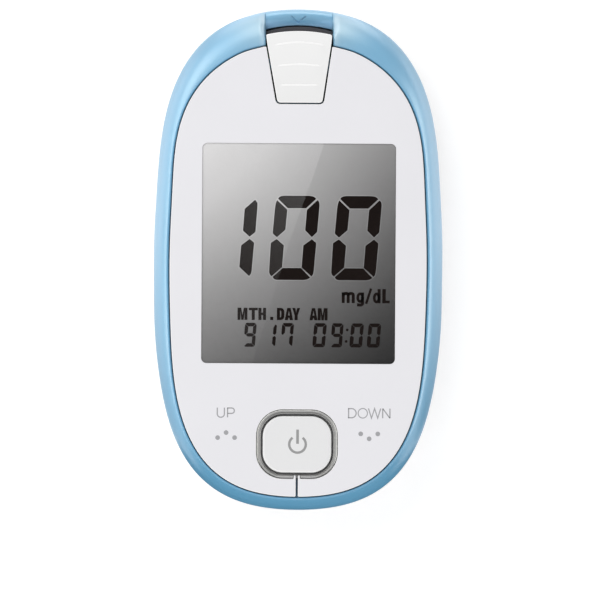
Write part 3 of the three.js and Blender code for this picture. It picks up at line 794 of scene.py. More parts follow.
def insertion_mark():
    line = [np.array(p) for p in ((-1.6, 47.08), (-0.32, 45.8), (1.22, 47.06))]
    pts = []
    for a, b in zip(line, line[1:]):
        n = 8
        pts += [a + (b - a) * k / n for k in range(n)]
    pts.append(line[-1])
    pts = np.array(pts)
    verts, faces = [], []
    for i, p in enumerate(pts):
        a, b = pts[max(0, i - 1)], pts[min(len(pts) - 1, i + 1)]
        d = (b - a) / np.linalg.norm(b - a)
        n = np.array([-d[1], d[0]])
        h = floor_height(*p)
        for s, dz in ((-0.06, -0.3), (-0.17, 0.35), (0.17, 0.35), (0.06, -0.3)):
            q = p + n * s
            verts.append([q[0], q[1], h + dz])
    m = len(pts)
    for i in range(m - 1):
        for k in range(4):
            k2 = (k + 1) % 4
            faces.append([i * 4 + k, i * 4 + k2, (i + 1) * 4 + k2, (i + 1) * 4 + k])
    faces.append([0, 3, 2, 1])
    faces.append([(m - 1) * 4 + k for k in range(4)])
    if volume(verts, faces) < 0:
        faces = [f[::-1] for f in faces]
    return verts, faces


def insertion_cutter():
    v, f = insertion_mark()
    me = bpy.data.meshes.new("insertion_cutter")
    me.from_pydata((np.asarray(v) * MM).tolist(), [], f)
    return me


def front_deck():
    a0 = math.atan2(5.65, 39.6)
    ang = np.linspace(a0, 2 * PI - a0, 200)
    edge = outline(INNER, ang, -2.45)[::-1]  # anticlockwise
    loop = np.concatenate([edge, [[5.65, 30.7], [-5.65, 30.7]][::-1]])
    if edge[0][0] > 0:
        loop = np.concatenate([edge, [[-5.65, 30.7], [5.65, 30.7]]]) if edge[-1][0] < 0 else loop
    else:
        loop = np.concatenate([edge, [[5.65, 30.7], [-5.65, 30.7]]])
    area = 0.5 * np.sum(loop[:, 0] * np.roll(loop[:, 1], -1) - np.roll(loop[:, 0], -1) * loop[:, 1])
    if area < 0:
        loop = loop[::-1]
    holes = [rounded(WIN[0], WIN[1], 42, 47, 1.2, 6, 6)[::-1], rounded(KEY[0], KEY[1], 15.7, 13.4, 5.1, 10)[::-1],
             arc(-DOT[0], DOT[1], 2.1, 2.1, 360, 15, 24), arc(DOT[0], DOT[1], 2.1, 2.1, 360, 15, 24)]
    slab("front_deck", [loop] + holes, 14.3, 15.25, 0.1, "root", BLUE, "blue_casing", segs=2)


front_deck()


# ---------------------------------------------------------------- face plate and its flexing keys
def hinge_dir():
    d = HINGE_B - HINGE_A
    return d / np.linalg.norm(d)


def hinge_hits():
    """Where the right hinge line meets the plate's edge and the opening round the ring."""
    d = hinge_dir()
    a = np.linspace(1.4, 2.6, 4001)
    p = outline(INNER, a, -EDGE)
    q = p - HINGE_A
    side = q[:, 0] * d[1] - q[:, 1] * d[0]
    k = np.argmin(np.abs(side))
    end = p[k]
    # refine the angle so that the point is on both lines
    a0 = a[k]
    for _ in range(10):
        e = 1e-5
        f = lambda t: (lambda w: w[0] * d[1] - w[1] * d[0])(outline(INNER, np.array([t]), -EDGE)[0] - HINGE_A)
        a0 -= f(a0) * 2 * e / (f(a0 + e) - f(a0 - e))
    end = outline(INNER, np.array([a0]), -EDGE)[0]
    # ring opening: corner arc at the upper right
    w, h, r = RING[2] + 0.2, RING[3] + 0.2, RING[4] + 0.1
    c = np.array([RING[0] + w / 2 - r, RING[1] + h / 2 - r])
    t = np.linspace(0, PI / 2, 4001)
    p = c + r * np.stack([np.cos(t), np.sin(t)], -1)
    q = p - HINGE_A
    side = q[:, 0] * d[1] - q[:, 1] * d[0]
    k = np.argmin(np.abs(side))
    return a0, end, t[k], p[k], (w, h, r, c)


A_B, P_B, T_A, P_A, OPEN = hinge_hits()


def ejector_line(grow):
    """Right side of the ejector's outline from the top down to the middle of its lower edge."""
    bottom, bend, top, wb, wm, wt, r = 30.2 - grow, 41.3, 43.3, 4.32 + grow, 6.15 + grow, 6.4 + grow, 0.7 + grow
    return bottom, bend, top, wb, wm, wt, r


def mirror(p):
    q = np.array(p, float)[::-1].copy()
    q[:, 0] *= -1
    return q


def opening_arc(t0, t1, n):
    w, h, r, c = OPEN
    t = np.linspace(t0, t1, n)
    return c + r * np.stack([np.cos(t), np.sin(t)], -1)


def corner_inset(n_in, along):
    """Inset at a corner that keeps to a line: unit inset of the edge with inward normal n_in, moved along the line."""
    return along / float(np.dot(n_in, along))


BLEND_MARGIN = 1.0
PLATE_R = 0.2


def plate_loops():
    d = hinge_dir()
    # channel for the ejector
    grow = 0.28
    bottom, bend, top, wb, wm, wt, r = ejector_line(grow)
    # where the plate's outline meets the channel's side
    def side_x(y):
        return np.where(y > bend, wm + (wt - wm) * (y - bend) / (top - bend), wb + (wm - wb) * (y - bottom) / (bend - bottom))
    a = 0.14
    for _ in range(30):
        f = lambda t: (lambda p: p[0] - float(side_x(p[1])))(outline(INNER, np.array([t]), -EDGE)[0])
        e = 1e-4
        a -= f(a) * 2 * e / (f(a + e) - f(a - e))
    ang = np.linspace(A_B, a, 150)
    right = outline(INNER, ang, -EDGE)  # from the hinge up to the channel
    meet = right[-1]
    pts = [meet]
    if meet[1] > bend + 0.3:
        pts.append(np.array([wm, bend]))
    pts.append(np.array([wb, bottom]))
    side = resample_open(np.array(pts), 0.8)
    floor = resample_open(np.array([[wb, bottom], [0, bottom]]), 0.8)
    chan = round_join(side, floor, 0.95, 9)
    line = round_join(right, chan, 0.2, 5)
    full = np.concatenate([line, mirror(line)[1:]])
    # hinge on the left, the opening's upper edge, hinge on the right
    hinge_r = resample_open(np.array([P_A, P_B]), 0.7)  # outwards
    hinge_l = mirror(hinge_r)  # from the plate's edge on the left in to the opening
    top_edge = np.concatenate([opening_arc(T_A, PI / 2, 12), ])
    w, h, rr, c = OPEN
    straight = resample_open(np.array([[c[0], RING[1] + h / 2], [-c[0], RING[1] + h / 2]]), 0.8)[1:-1]
    upper_open = np.concatenate([top_edge, straight, mirror(top_edge)])  # right to left
    lower = upper_open[::-1]  # left to right
    loop = lean(np.concatenate([full, hinge_l[1:-1], lower, hinge_r[1:-1]]))
    n_full, n_h, n_low = len(full), len(hinge_l) - 2, len(lower)
    ins = inset_vectors(loop)
    # straight joint faces keep their place
    ins[n_full:n_full + n_h] = 0
    ins[n_full + n_h + n_low:] = 0
    dl = np.array([-d[0], d[1]])
    # corners: first and last of the outline, first and last of the opening's edge
    def edge_normal(p, q):
        t = (q - p) / np.linalg.norm(q - p)
        return np.array([-t[1], t[0]])
    ins[0] = corner_inset(edge_normal(loop[0], loop[1]), -d)
    ins[n_full - 1] = corner_inset(edge_normal(loop[n_full - 2], loop[n_full - 1]), -dl)
    i = n_full + n_h
    ins[i] = corner_inset(edge_normal(loop[i], loop[i + 1]), dl)
    j = i + n_low - 1
    ins[j] = corner_inset(edge_normal(loop[j - 1], loop[j]), d)
    return loop, ins, (hinge_r, ins[0], ins[j])


def resample_open(p, step):
    out = []
    for a, b in zip(p, p[1:]):
        n = max(1, int(np.linalg.norm(b - a) / step + 0.5))
        out += [a + (b - a) * k / n for k in range(n)]
    out.append(p[-1])
    return np.array(out)


def plate():
    loop, ins, shared = plate_loops()
    window = rounded(WIN[0], WIN[1], WIN[2] - 0.1, WIN[3] - 0.1, WIN[4], 8, 1.6)[::-1]
    ins_w = inset_vectors(window) * 0.25
    slab("face_plate_skin", [loop, window], 16.4, 18.0, PLATE_R, "root", WHITE, "white_casing", insets=[ins, ins_w],
         replaces=["face_plate"])
    return shared


def right_flap(shared):
    """The right key: outline from the hinge clockwise round to the slit, made anticlockwise."""
    hinge_r, ins_b, ins_a = shared
    d = hinge_dir()
    # outline angles from the slit's lower end to the hinge's outer end
    a = PI - 0.004
    for _ in range(20):
        f = lambda t: outline(INNER, np.array([t]), -EDGE)[0][0] - SLIT / 2
        e = 1e-4
        a -= f(a) * 2 * e / (f(a + e) - f(a - e))
    edge = outline(INNER, np.linspace(a, A_B, 90), -EDGE)  # anticlockwise, from the slit to the hinge
    w, h, r, c = OPEN
    slit = resample_open(np.array([[SLIT / 2, TAB[1]], edge[0]]), 0.7)
    # opening's lower right, from the slit clockwise... kept with the material on the left
    t = np.linspace(T_A, -PI / 2, 40)
    cc = np.array([c[0], RING[1] + h / 2 - r])
    arc_up = c + r * np.stack([np.cos(np.linspace(T_A, 0, 12)), np.sin(np.linspace(T_A, 0, 12))], -1)
    cl = np.array([c[0], RING[1] - h / 2 + r])
    arc_dn = cl + r * np.stack([np.cos(np.linspace(0, -PI / 2, 14)), np.sin(np.linspace(0, -PI / 2, 14))], -1)
    flat = resample_open(np.array([[c[0], RING[1] - h / 2], [TAB[0], RING[1] - h / 2]]), 0.7)
    opening = np.concatenate([arc_up, arc_dn, flat[1:]])
    opening = opening[np.concatenate([[True], np.linalg.norm(np.diff(opening, axis=0), axis=1) > 1e-6])]
    up_side = resample_open(np.array([[TAB[0], RING[1] - h / 2], [TAB[0], TAB[1]]]), 0.12)
    across = resample_open(np.array([[TAB[0], TAB[1]], [SLIT / 2, TAB[1]]]), 0.1)
    inner_side = round_join(round_join(round_join(opening, up_side, 0.12, 4), across, 0.1, 4), slit, 0.16, 5)
    whole = round_join(inner_side, edge, 0.22, 5)
    hinge_in = hinge_r[::-1]
    loop = np.concatenate([whole, hinge_in[1:-1]])
    n = len(whole)
    ins = inset_vectors(loop)
    ins[n:] = 0

    def edge_normal(p, q):
        t = (q - p) / np.linalg.norm(q - p)
        return np.array([-t[1], t[0]])
    ins[0] = corner_inset(edge_normal(loop[0], loop[1]), d)
    ins[n - 1] = corner_inset(edge_normal(loop[n - 2], loop[n - 1]), -d)
    return loop, ins


SHARED = plate()
FLAP, FLAP_INS = right_flap(SHARED)
_d = hinge_dir()
_n = np.array([_d[1], -_d[0]])  # from the hinge down into the right key
_mid = (HINGE_A + HINGE_B) / 2


def flap_grid():
    g = []
    for s in (0.35, 0.75, 1.2, 1.8, 2.6):
        for t in np.arange(-2, 24, 0.9):
            g.append(HINGE_A + _d * t + _n * s)
    return np.array(g)


def blend_ends(side):
    s, e = _mid - _n * 0.0, _mid + _n * BLEND_MARGIN * 2
    return (side * s[0] * MM, s[1] * MM, 0.018), (side * e[0] * MM, e[1] * MM, 0.018)


s, e = blend_ends(1)
slab("down_key_skin", [FLAP], 16.4, 18.0, PLATE_R, None, WHITE, "white_casing", insets=[FLAP_INS], grid=flap_grid(),
     replaces=["down_key_flap"], blend=("root", "down_key", s, e))
left_ins = FLAP_INS[::-1].copy()
left_ins[:, 0] *= -1
left_grid = flap_grid()
left_grid[:, 0] *= -1
s, e = blend_ends(-1)
slab("up_key_skin", [mirror(FLAP)], 16.4, 18.0, PLATE_R, None, WHITE, "white_casing", insets=[left_ins], grid=left_grid,
     replaces=["up_key_flap"], blend=("root", "up_key", s, e))


def peg(name, x, y, profile, body, material, slot, n=32, replaces=()):
    a = np.linspace(0, 2 * PI, n, endpoint=False)
    grid = np.array([np.stack([x + r * np.sin(a), y + r * np.cos(a), np.full(n, z)], -1) for r, z in profile])
    nr = len(profile)
    faces = []
    for i in range(nr - 1):
        for k in range(n):
            k2 = (k + 1) % n
            faces.append([i * n + k, i * n + k2, (i + 1) * n + k2, (i + 1) * n + k])
    faces.append([k for k in range(n)][::-1])
    faces.append([(nr - 1) * n + k for k in range(n)])
    verts = grid.reshape(-1, 3)
    if volume(verts, faces) < 0:
        faces = [f[::-1] for f in faces]
    return finish_mesh(name, verts, faces, body, material, slot, sharp=30, replaces=replaces)


for side, name in ((-1, "up"), (1, "down")):
    peg(name + "_key_stem", side * DOT[0], DOT[1], [(1.2, 13.35), (1.4, 13.45), (1.5, 13.65), (1.5, 16.3), (1.8, 16.45)], name + "_key", WHITE, "white_casing")

# ---------------------------------------------------------------- display
slab("display_pane", [rounded(WIN[0], WIN[1], WIN[2] - 0.12, WIN[3] - 0.12, WIN[4] - 0.01, 8, 3)], 17.66, 17.95, 0.03, "root", PANE,
     "display_window", segs=3, replaces=["display_window"])


slab("lcd_front", [rounded(WIN[0], WIN[1], WIN[2] - 0.16, WIN[3] - 0.16, WIN[4] - 0.03, 8, 3)], 17.06, 17.6, 0.02, "root", LCD, "lcd_glass", segs=2)


def lcd_polygons():
    """Reading of the display in segment shapes, millimetres, X and Y of the part."""
    def at(p, dx=0.0):
        p = np.array(p, float)
        px, py = 225 + p[:, 0] / 14.25 + dx, 180 + p[:, 1] / 14.25
        return np.stack([(px - 298.1) * 0.19357, (259.15 - py) * 0.19357], -1)
    polys = [at([(425, 292), (457, 335), (457, 380), (430, 745), (350, 810), (258, 728), (280, 420)]),
             at([(350, 848), (412, 900), (380, 1290), (372, 1335), (345, 1370), (210, 1245), (232, 940)])]
    for dx in (0, 62.0):
        polys += [at(p, dx) for p in ZERO]
    return polys


ZERO = [
    [(755, 270), (770, 250), (800, 236), (845, 230), (1195, 230), (1240, 236), (1270, 250), (1290, 270), (1150, 402), (890, 402)],
    [(738, 295), (882, 430), (855, 712), (738, 815), (680, 765), (712, 400), (722, 340)],
    [(1312, 292), (1330, 312), (1338, 340), (1336, 400), (1308, 740), (1235, 812), (1142, 718), (1165, 430)],
    [(735, 848), (835, 935), (812, 1240), (665, 1370), (645, 1350), (634, 1320), (634, 1280), (655, 900)],
    [(1235, 848), (1295, 900), (1262, 1290), (1256, 1325), (1248, 1350), (1232, 1370), (1095, 1245), (1117, 935)],
    [(825, 1258), (1080, 1258), (1210, 1390), (1180, 1410), (1130, 1422), (735, 1422), (700, 1410), (683, 1385)],
]
MIDDLE = [(768, 830), (855, 752), (1125, 752), (1205, 830), (1118, 908), (848, 908)]


def small_digit(x0, x1, y0, y1, which):
    """Segments of a small digit fitted to a box given in the photograph's frame."""
    names = {"a": ZERO[0], "f": ZERO[1], "b": ZERO[2], "e": ZERO[3], "c": ZERO[4], "d": ZERO[5], "g": MIDDLE}
    out = []
    for k in which:
        p = np.array(names[k], float)
        u, v = (p[:, 0] - 632) / 706.0, (p[:, 1] - 230) / 1192.0
        out.append(np.stack([(x0 + (x1 - x0) * u - 298.1) * 0.19357, (259.15 - (y0 + (y1 - y0) * v)) * 0.19357], -1))
    return out


def ccw(p):
    area = 0.5 * np.sum(p[:, 0] * np.roll(p[:, 1], -1) - np.roll(p[:, 0], -1) * p[:, 1])
    return p if area > 0 else p[::-1]


def shrink(p, k):
    p = ccw(p)
    return p + inset_vectors(p) * k


def stroke(points, w):
    """Outline of an open line of width w with flat ends."""
    p = np.array(points, float)
    d = np.diff(p, axis=0)
    d /= np.linalg.norm(d, axis=1)[:, None]
    n = np.stack([-d[:, 1], d[:, 0]], -1)
    m = np.concatenate([n[:1], n[:-1] + n[1:], n[-1:]])
    m /= np.linalg.norm(m, axis=1)[:, None]
    k = np.concatenate([[1.0], np.clip((m[1:-1] * n[1:]).sum(1), 0.35, 1), [1.0]])
    off = m / k[:, None] * w / 2
    return ccw(np.concatenate([p + off, (p - off)[::-1]]))


def px(x, y, cx=298.1):
    return ((x - cx) * 0.19357, (259.15 - y) * 0.19357)


def pxl(pts, cx=298.1):
    return [px(x, y, cx) for x, y in pts]


def block_letter(ch, x0, x1, y0, y1, st, bar=None, cx=298.1):
    """Heavy block capitals inside a box of the photograph's frame; st is the stem's width."""
    bar = bar or st * 0.82
    w, h = x1 - x0, y1 - y0
    P = lambda pts: np.array(pxl([(x0 + a, y0 + b) for a, b in pts], cx))
    if ch == "M":
        k = st * 0.95
        return [P([(0, h), (0, 0), (k * 1.25, 0), (w / 2, h * 0.62), (w - k * 1.25, 0), (w, 0), (w, h), (w - k, h), (w - k, h * 0.25), (w / 2 + k * 0.42, h), (w / 2 - k * 0.42, h), (k, h * 0.25), (k, h)])]
    if ch == "T":
        return [P([(0, 0), (w, 0), (w, bar), (w / 2 + st / 2, bar), (w / 2 + st / 2, h), (w / 2 - st / 2, h), (w / 2 - st / 2, bar), (0, bar)])]
    if ch == "H":
        return [P([(0, 0), (st, 0), (st, h / 2 - bar / 2), (w - st, h / 2 - bar / 2), (w - st, 0), (w, 0), (w, h), (w - st, h), (w - st, h / 2 + bar / 2), (st, h / 2 + bar / 2), (st, h), (0, h)])]
    if ch == "A":
        return [P([(w / 2 - st * 0.55, 0), (w / 2 + st * 0.55, 0), (w, h), (w - st, h), (w - st * 1.25, h * 0.8), (st * 1.25, h * 0.8), (st, h), (0, h)]),
                P([(w / 2, h * 0.22), (w / 2 - 0.9, h * 0.62), (w / 2 + 0.9, h * 0.62)])[::-1]]
    if ch == "Y":
        return [P([(0, 0), (st, 0), (w / 2, h * 0.4), (w - st, 0), (w, 0), (w / 2 + st / 2, h * 0.6), (w / 2 + st / 2, h), (w / 2 - st / 2, h), (w / 2 - st / 2, h * 0.6)])]
    if ch == "D":
        r = min(w * 0.6, h * 0.3)
        outer = [(0, 0), (w - r, 0)] + [(w - r + r * math.sin(t), r - r * math.cos(t)) for t in np.linspace(0.2, PI / 2, 6)] + \
                [(w - r + r * math.cos(t), h - r + r * math.sin(t)) for t in np.linspace(0, PI / 2 - 0.2, 6)] + [(w - r, h), (0, h)]
        r2 = max(0.3, r - st * 0.7)
        inner = [(st, bar), (w - st - r2, bar)] + [(w - st - r2 + r2 * math.sin(t), bar + r2 - r2 * math.cos(t)) for t in np.linspace(0.3, PI / 2, 4)] + \
                [(w - st - r2 + r2 * math.cos(t), h - bar - r2 + r2 * math.sin(t)) for t in np.linspace(0, PI / 2 - 0.3, 4)] + [(w - st - r2, h - bar), (st, h - bar)]
        return [P(outer), P(inner)]
    raise ValueError(ch)


def lcd_text():
    """Shapes with holes: lists of loops, first one outside."""
    out = []
    y0, y1 = 308.1, 320.1
    for ch, x0, x1 in (("M", 238.1, 247.7), ("T", 249.3, 258.0), ("H", 258.9, 266.3), ("D", 277.4, 284.5), ("A", 285.2, 293.2), ("Y", 292.7, 300.2), ("A", 309.9, 317.6), ("M", 318.1, 327.6)):
        out.append(block_letter(ch, x0 - 0.1, x1 + 0.15, y0 - 0.1, y1, 3.05))
    out.append([np.array(pxl([(270.6, 316.9), (273.6, 316.9), (273.6, 320.1), (270.6, 320.1)]))])
    # unit in lower case
    b, xh, top = 302.7, 292.1, 288.6
    w = 3.0 * 0.19357
    def st(pts):
        out.append([stroke(pxl(pts), w)])
    st([(343.3, b), (343.3, xh)])
    for x0, x1 in ((343.3, 348.3), (348.3, 353.3)):
        out.append([stroke(pxl([(x0, xh + 3.2)] + [(x0 + 2.6 - 2.6 * math.cos(t), xh + 3.2 - 2.1 * math.sin(t)) for t in np.linspace(0.35, PI / 2, 5)] +
                               [(x1 - 1.6 + 1.6 * math.sin(t), xh + 2.9 - 1.8 * math.cos(t)) for t in np.linspace(0.2, PI / 2, 5)] + [(x1, b)]), w)])
    gx0, gx1, cy = 357.8, 362.6, 297.3
    ring = lambda x0, x1, ya, yb, t: [np.array(pxl([(x0 + (x1 - x0) / 2 + (x1 - x0 + t) / 2 * math.cos(u), (ya + yb) / 2 + (yb - ya + t) / 2 * math.sin(u)) for u in np.linspace(0, 2 * PI, 28, endpoint=False)])),
                                      np.array(pxl([(x0 + (x1 - x0) / 2 + (x1 - x0 - t) / 2 * math.cos(u), (ya + yb) / 2 + (yb - ya - t) / 2 * math.sin(u)) for u in np.linspace(0, 2 * PI, 24, endpoint=False)]))]
    out.append(ring(gx0, gx1, xh + 1.3, b - 1.6, 2.7))
    st([(gx1, xh), (gx1, b + 0.3)] + [(gx1 - 2.4 + 2.4 * math.cos(t), b + 0.3 + 1.7 * math.sin(t)) for t in np.linspace(0.3, PI / 2, 5)] + [(gx0 - 0.6, b + 1.7)])
    out.append([stroke(pxl([(366.2, b + 0.6), (371.0, top - 0.4)]), w * 0.8)])
    out.append(ring(374.3, 378.9, xh + 1.3, b - 1.2, 2.7))
    st([(379.1, top), (379.1, b)])
    out.append([np.array(pxl([(382.3, top), (385.7, top), (385.7, b - 2.6), (389.7, b - 2.6), (389.7, b), (382.3, b)]))])
    return out


def printed(name, shapes, z0, z1, body, material, slot, r=0.012):
    """Thin raised print; each shape is a list of loops, the first outside and the others holes."""
    parts = []
    for loops in shapes:
        loops = [ccw(np.array(loops[0], float))] + [ccw(np.array(p, float))[::-1] for p in loops[1:]]
        parts.append(slab("", loops, z0, z1, r, None, None, None, segs=1, only_mesh=True))
    v, f, c = join_meshes(parts)
    return finish_mesh(name, v, f, body, material, slot, normals=[tuple(x) for x in c])


printed("lcd_reading", [[shrink(p, -0.045)] for p in lcd_polygons()], 17.61, 17.635, "root", SEGMENT, "lcd_glass")
printed("lcd_pale_edge", [[shrink(p, -0.19)] for p in lcd_polygons()], 17.595, 17.612, "root", LCD_PALE, "lcd_glass")
digits = []
for x0, x1, which in ((244.1, 256.9, "abcdfg"), (281.1, 294.1, "abcf"), (313.0, 326.8, "abcdef"), (330.9, 343.6, "abcdfg"), (350.0, 363.8, "abcdef"), (367.3, 381.1, "abcdef")):
    digits += small_digit(x0, x1, 323.1, 346.8, which)
digits += [np.array(pxl([(275.9, 324.6), (277.2, 325.6), (276.6, 333.4), (274.9, 334.9), (273.5, 333.6), (274.0, 328.0)])),
           np.array(pxl([(274.9, 336.0), (276.3, 337.4), (275.7, 344.6), (274.9, 346.0), (272.7, 343.6), (273.2, 337.4)]))]
digits += [arc(*px(347.5, 329.5), 0.24, 0.24, 0, 345, 16), arc(*px(346.5, 341.0), 0.24, 0.24, 0, 345, 16)]
printed("lcd_date_time", [[shrink(p, -0.022)] for p in digits], 17.61, 17.635, "root", SEGMENT, "lcd_glass")
printed("lcd_labels", lcd_text(), 17.61, 17.635, "root", SEGMENT, "lcd_glass")

# ---------------------------------------------------------------- legends on the two keys and the power mark
LW = 0.235


def legend_up():
    b, t = 417.4, 407.8
    c = 297.1
    return [[stroke(pxl([(217.4, t), (217.4, b - 3.4)] + [(220.95 - 3.55 * math.cos(u), b - 3.4 + 3.4 * math.sin(u)) for u in np.linspace(0.15, PI - 0.15, 14)] + [(224.5, b - 3.4), (224.5, t)], c), LW)],
            [stroke(pxl([(227.7, b), (227.7, t)], c), LW)],
            [stroke(pxl([(227.3, t + 0.3), (231.7, t + 0.3)] + [(231.7 + 2.7 * math.sin(u), t + 3.0 - 2.7 * math.cos(u)) for u in np.linspace(0.2, PI - 0.2, 12)] + [(231.7, t + 5.7), (227.7, t + 5.7)], c), LW)]]


def legend_down():
    b, t = 417.4, 407.7
    c = 297.1
    m = (b + t) / 2
    h = (b - t) / 2 - 0.3
    out = [[stroke(pxl([(348.4, b), (348.4, t)], c), LW)],
           [stroke(pxl([(348.0, t + 0.3), (351.4, t + 0.3)] + [(351.4 + 4.5 * math.sin(u), m - h * math.cos(u)) for u in np.linspace(0.15, PI - 0.15, 16)] + [(351.4, b - 0.3), (348.0, b - 0.3)], c), LW)]]
    el = lambda k: np.array(pxl([(362.5 + (4.65 + k) * math.cos(u), m + (h + 0.25 + k) * math.sin(u)) for u in np.linspace(0, 2 * PI, 40, endpoint=False)], c))
    out.append([el(0.5), el(-0.53)])
    out.append([stroke(pxl([(368.2, t), (371.2, b), (374.3, t), (377.4, b), (380.4, t)], c), LW)])
    out.append([stroke(pxl([(382.4, b), (382.4, t)], c), LW)])
    out.append([stroke(pxl([(382.5, t + 0.1), (389.5, b - 0.1)], c), LW)])
    out.append([stroke(pxl([(389.6, b), (389.6, t)], c), LW)])
    return out


def dots(points):
    return [[arc(*px(x, y, 297.1), 0.45, 0.45, 0, 350, 36)] for x, y in points]


printed("up_legend", legend_up(), 17.99, 18.012, "up_key", INK, "white_casing")
printed("down_legend", legend_down(), 17.99, 18.012, "down_key", INK, "white_casing")
printed("up_dots", dots([(217.9, 437.7), (226.3, 432.6), (234.8, 437.6)]), 17.99, 18.014, "up_key", INK, "white_casing")
printed("down_dots", dots([(360.6, 433.1), (369.0, 438.0), (377.6, 433.1)]), 17.99, 18.014, "down_key", INK, "white_casing")

# power key
slab("power_cap", [rounded(*KEY, 16, 1.0)], 14.6, 18.2, 0.5, "power_key", KEY_WHITE, "white_casing", segs=8, replaces=["power_key_cap"])
slab("power_cap_skirt", [rounded(KEY[0], KEY[1], 15.1, 12.8, 4.8, 10)], 13.9, 14.6, 0.12, "power_key", KEY_WHITE, "white_casing", segs=2)
peg("power_cap_stem", KEY[0], KEY[1], [(1.6, 13.35), (1.85, 13.45), (2.0, 13.65), (2.0, 14.0)], "power_key", KEY_WHITE, "white_casing")
cx, cy = 0.1, -35.77
ring_arc = [(cx + 1.6 * math.sin(math.radians(t)), cy + 1.6 * math.cos(math.radians(t))) for t in np.linspace(37, 323, 60)]
printed("power_mark", [[stroke(ring_arc, 0.47)], [stroke([(cx, -32.92), (cx, -35.66)], 0.52)]], 18.19, 18.212, "power_key", ICON_INK, "white_casing")


def swept_ring(name, shape, profile, low, body, material, slot, replaces=()):
    """A closed bar of the given profile, which turns into the profile low along the lower side."""
    path = rounded(*shape, 20, 0.6)
    ins = inset_vectors(path)
    k = smooth((-39.2 - path[:, 1:]) / 2.6)
    grid = np.array([np.concatenate([path + ins * (d + (d2 - d) * k), z + (z2 - z) * k], 1) for (d, z), (d2, z2) in zip(profile, low)])
    faces = ring_grid(grid)
    verts = grid.reshape(-1, 3)
    if volume(verts, faces) < 0:
        faces = [f[::-1] for f in faces]
    return finish_mesh(name, verts, faces, body, material, slot, sharp=38, replaces=replaces)


trim = swept_ring("trim_ring", RING,
                  [(0.0, 15.3), (0.0, 17.4), (0.0, 17.84), (0.02, 17.91), (0.07, 17.96), (0.13, 17.975), (0.40, 17.985), (0.46, 17.965), (0.49, 17.9), (0.50, 17.75),
                   (0.58, 17.74), (0.585, 17.76), (0.60, 17.78), (0.63, 17.81), (0.66, 17.82), (0.74, 17.81), (0.78, 17.76), (0.80, 17.66), (0.80, 15.3)],
                  [(0.0, 15.3), (0.0, 17.4), (0.0, 17.84), (0.02, 17.91), (0.06, 17.96), (0.11, 17.975), (0.32, 17.985), (0.36, 17.965), (0.385, 17.9), (0.39, 17.45),
                   (0.60, 17.40), (0.605, 17.6), (0.615, 17.68), (0.63, 17.71), (0.645, 17.72), (0.68, 17.71), (0.695, 17.68), (0.70, 17.6), (0.70, 15.3)],
                  "root", CHROME, "trim_ring", replaces=["power_key_ring"])


# ---------------------------------------------------------------- ejector
def ejector_loop():
    bottom, bend, top, wb, wm, wt, r = ejector_line(0.0)
    side = resample_open(np.array([[wt, top], [wm, bend], [wb, bottom]]), 0.6)
    floor = resample_open(np.array([[wb, bottom], [0, bottom]]), 0.6)
    right = round_join(side, floor, 0.7, 9)
    x = np.linspace(-wt, wt, 31)
    crown = np.stack([x, 44.02 - (44.02 - top) * (x / wt) ** 2], -1)
    # anticlockwise: up the right side, over the crown to the left, down the left side
    down_left = mirror(right)[::-1]
    half = round_join(crown[15:], right, 0.35, 6)  # crown's right half, then down the right side
    full_right = half
    loop = np.concatenate([full_right, mirror(full_right)[1:-1]])
    return ccw(lean(loop))


RIBS = [(41.85, 37.6, 0.024), (37.6, 33.62, 0.017), (33.62, 30.7, 0.0)]


def ejector_top(x, y):
    x, y = np.asarray(x, float), np.asarray(y, float)
    h = np.zeros(np.broadcast(x, y).shape)
    for top, y0, bow in RIBS:
        w = 3.4 + 0.13 * (top - 30)
        y1 = top - bow * x * x
        rise = smooth((y1 + 0.22 - y) / 0.44)
        t = np.clip((y1 - 0.22 - y) / (y1 - y0 - 0.4), 0, 1)
        fall = 1 - smooth(t)
        side = smooth((w + 0.55 - np.abs(x)) / 2.0)
        inside_rib = (y <= y1 + 0.22) & (y >= y0 - 0.25)
        h = np.maximum(h, np.where(inside_rib, rise * fall * side, 0.0))
    return 0.16 * h


eg = []
for yy in np.concatenate([np.arange(30.8, 44.0, 0.4)] + [np.arange(y1 - 0.9, y1 + 0.31, 0.075) for y1, _, _ in RIBS]):
    for xx in np.concatenate([np.arange(-6.0, 6.01, 0.5)]):
        eg.append((xx, yy))
slab("ejector_skin", [ejector_loop()], 16.35, 18.2, 0.17, "ejector", EJECTOR_WHITE, "white_casing", segs=6, top=ejector_top, grid=eg, replaces=["ejector_button"])
slab("ejector_nose", [ccw(np.array([[-6.1, 41.7], [6.1, 41.7], [6.2, 43.3], [3.1, 43.86], [0, 44.0], [-3.1, 43.86], [-6.2, 43.3]]))], 15.15, 16.4, 0.15, "ejector", WHITE, "white_casing", segs=3)


# ---------------------------------------------------------------- rear cover
def turned_mesh(name, rows, n=300):
    a = np.linspace(0, 2 * PI, n, endpoint=False)
    grid = np.array([row(a) for row in rows])
    nr = len(rows)
    verts = grid.reshape(-1, 3)
    faces = []
    for i in range(nr - 1):
        for k in range(n):
            k2 = (k + 1) % n
            faces.append([i * n + k, i * n + k2, (i + 1) * n + k2, (i + 1) * n + k])
    faces.append(list(range(n))[::-1])
    faces.append([(nr - 1) * n + k for k in range(n)])
    if volume(verts, faces) < 0:
        faces = [f[::-1] for f in faces]
    me = bpy.data.meshes.new(name)
    me.from_pydata((verts * MM).tolist(), [], faces)
    return me


def prism_mesh(name, loop, z0, z1):
    loop = ccw(np.asarray(loop, float))
    n = len(loop)
    verts = [[*p, z0] for p in loop] + [[*p, z1] for p in loop]
    faces = [[k, (k + 1) % n, n + (k + 1) % n, n + k] for k in range(n)]
    faces.append(list(range(n))[::-1])
    faces.append([n + k for k in range(n)])
    me = bpy.data.meshes.new(name)
    me.from_pydata((np.array(verts) * MM).tolist(), [], faces)
    return me


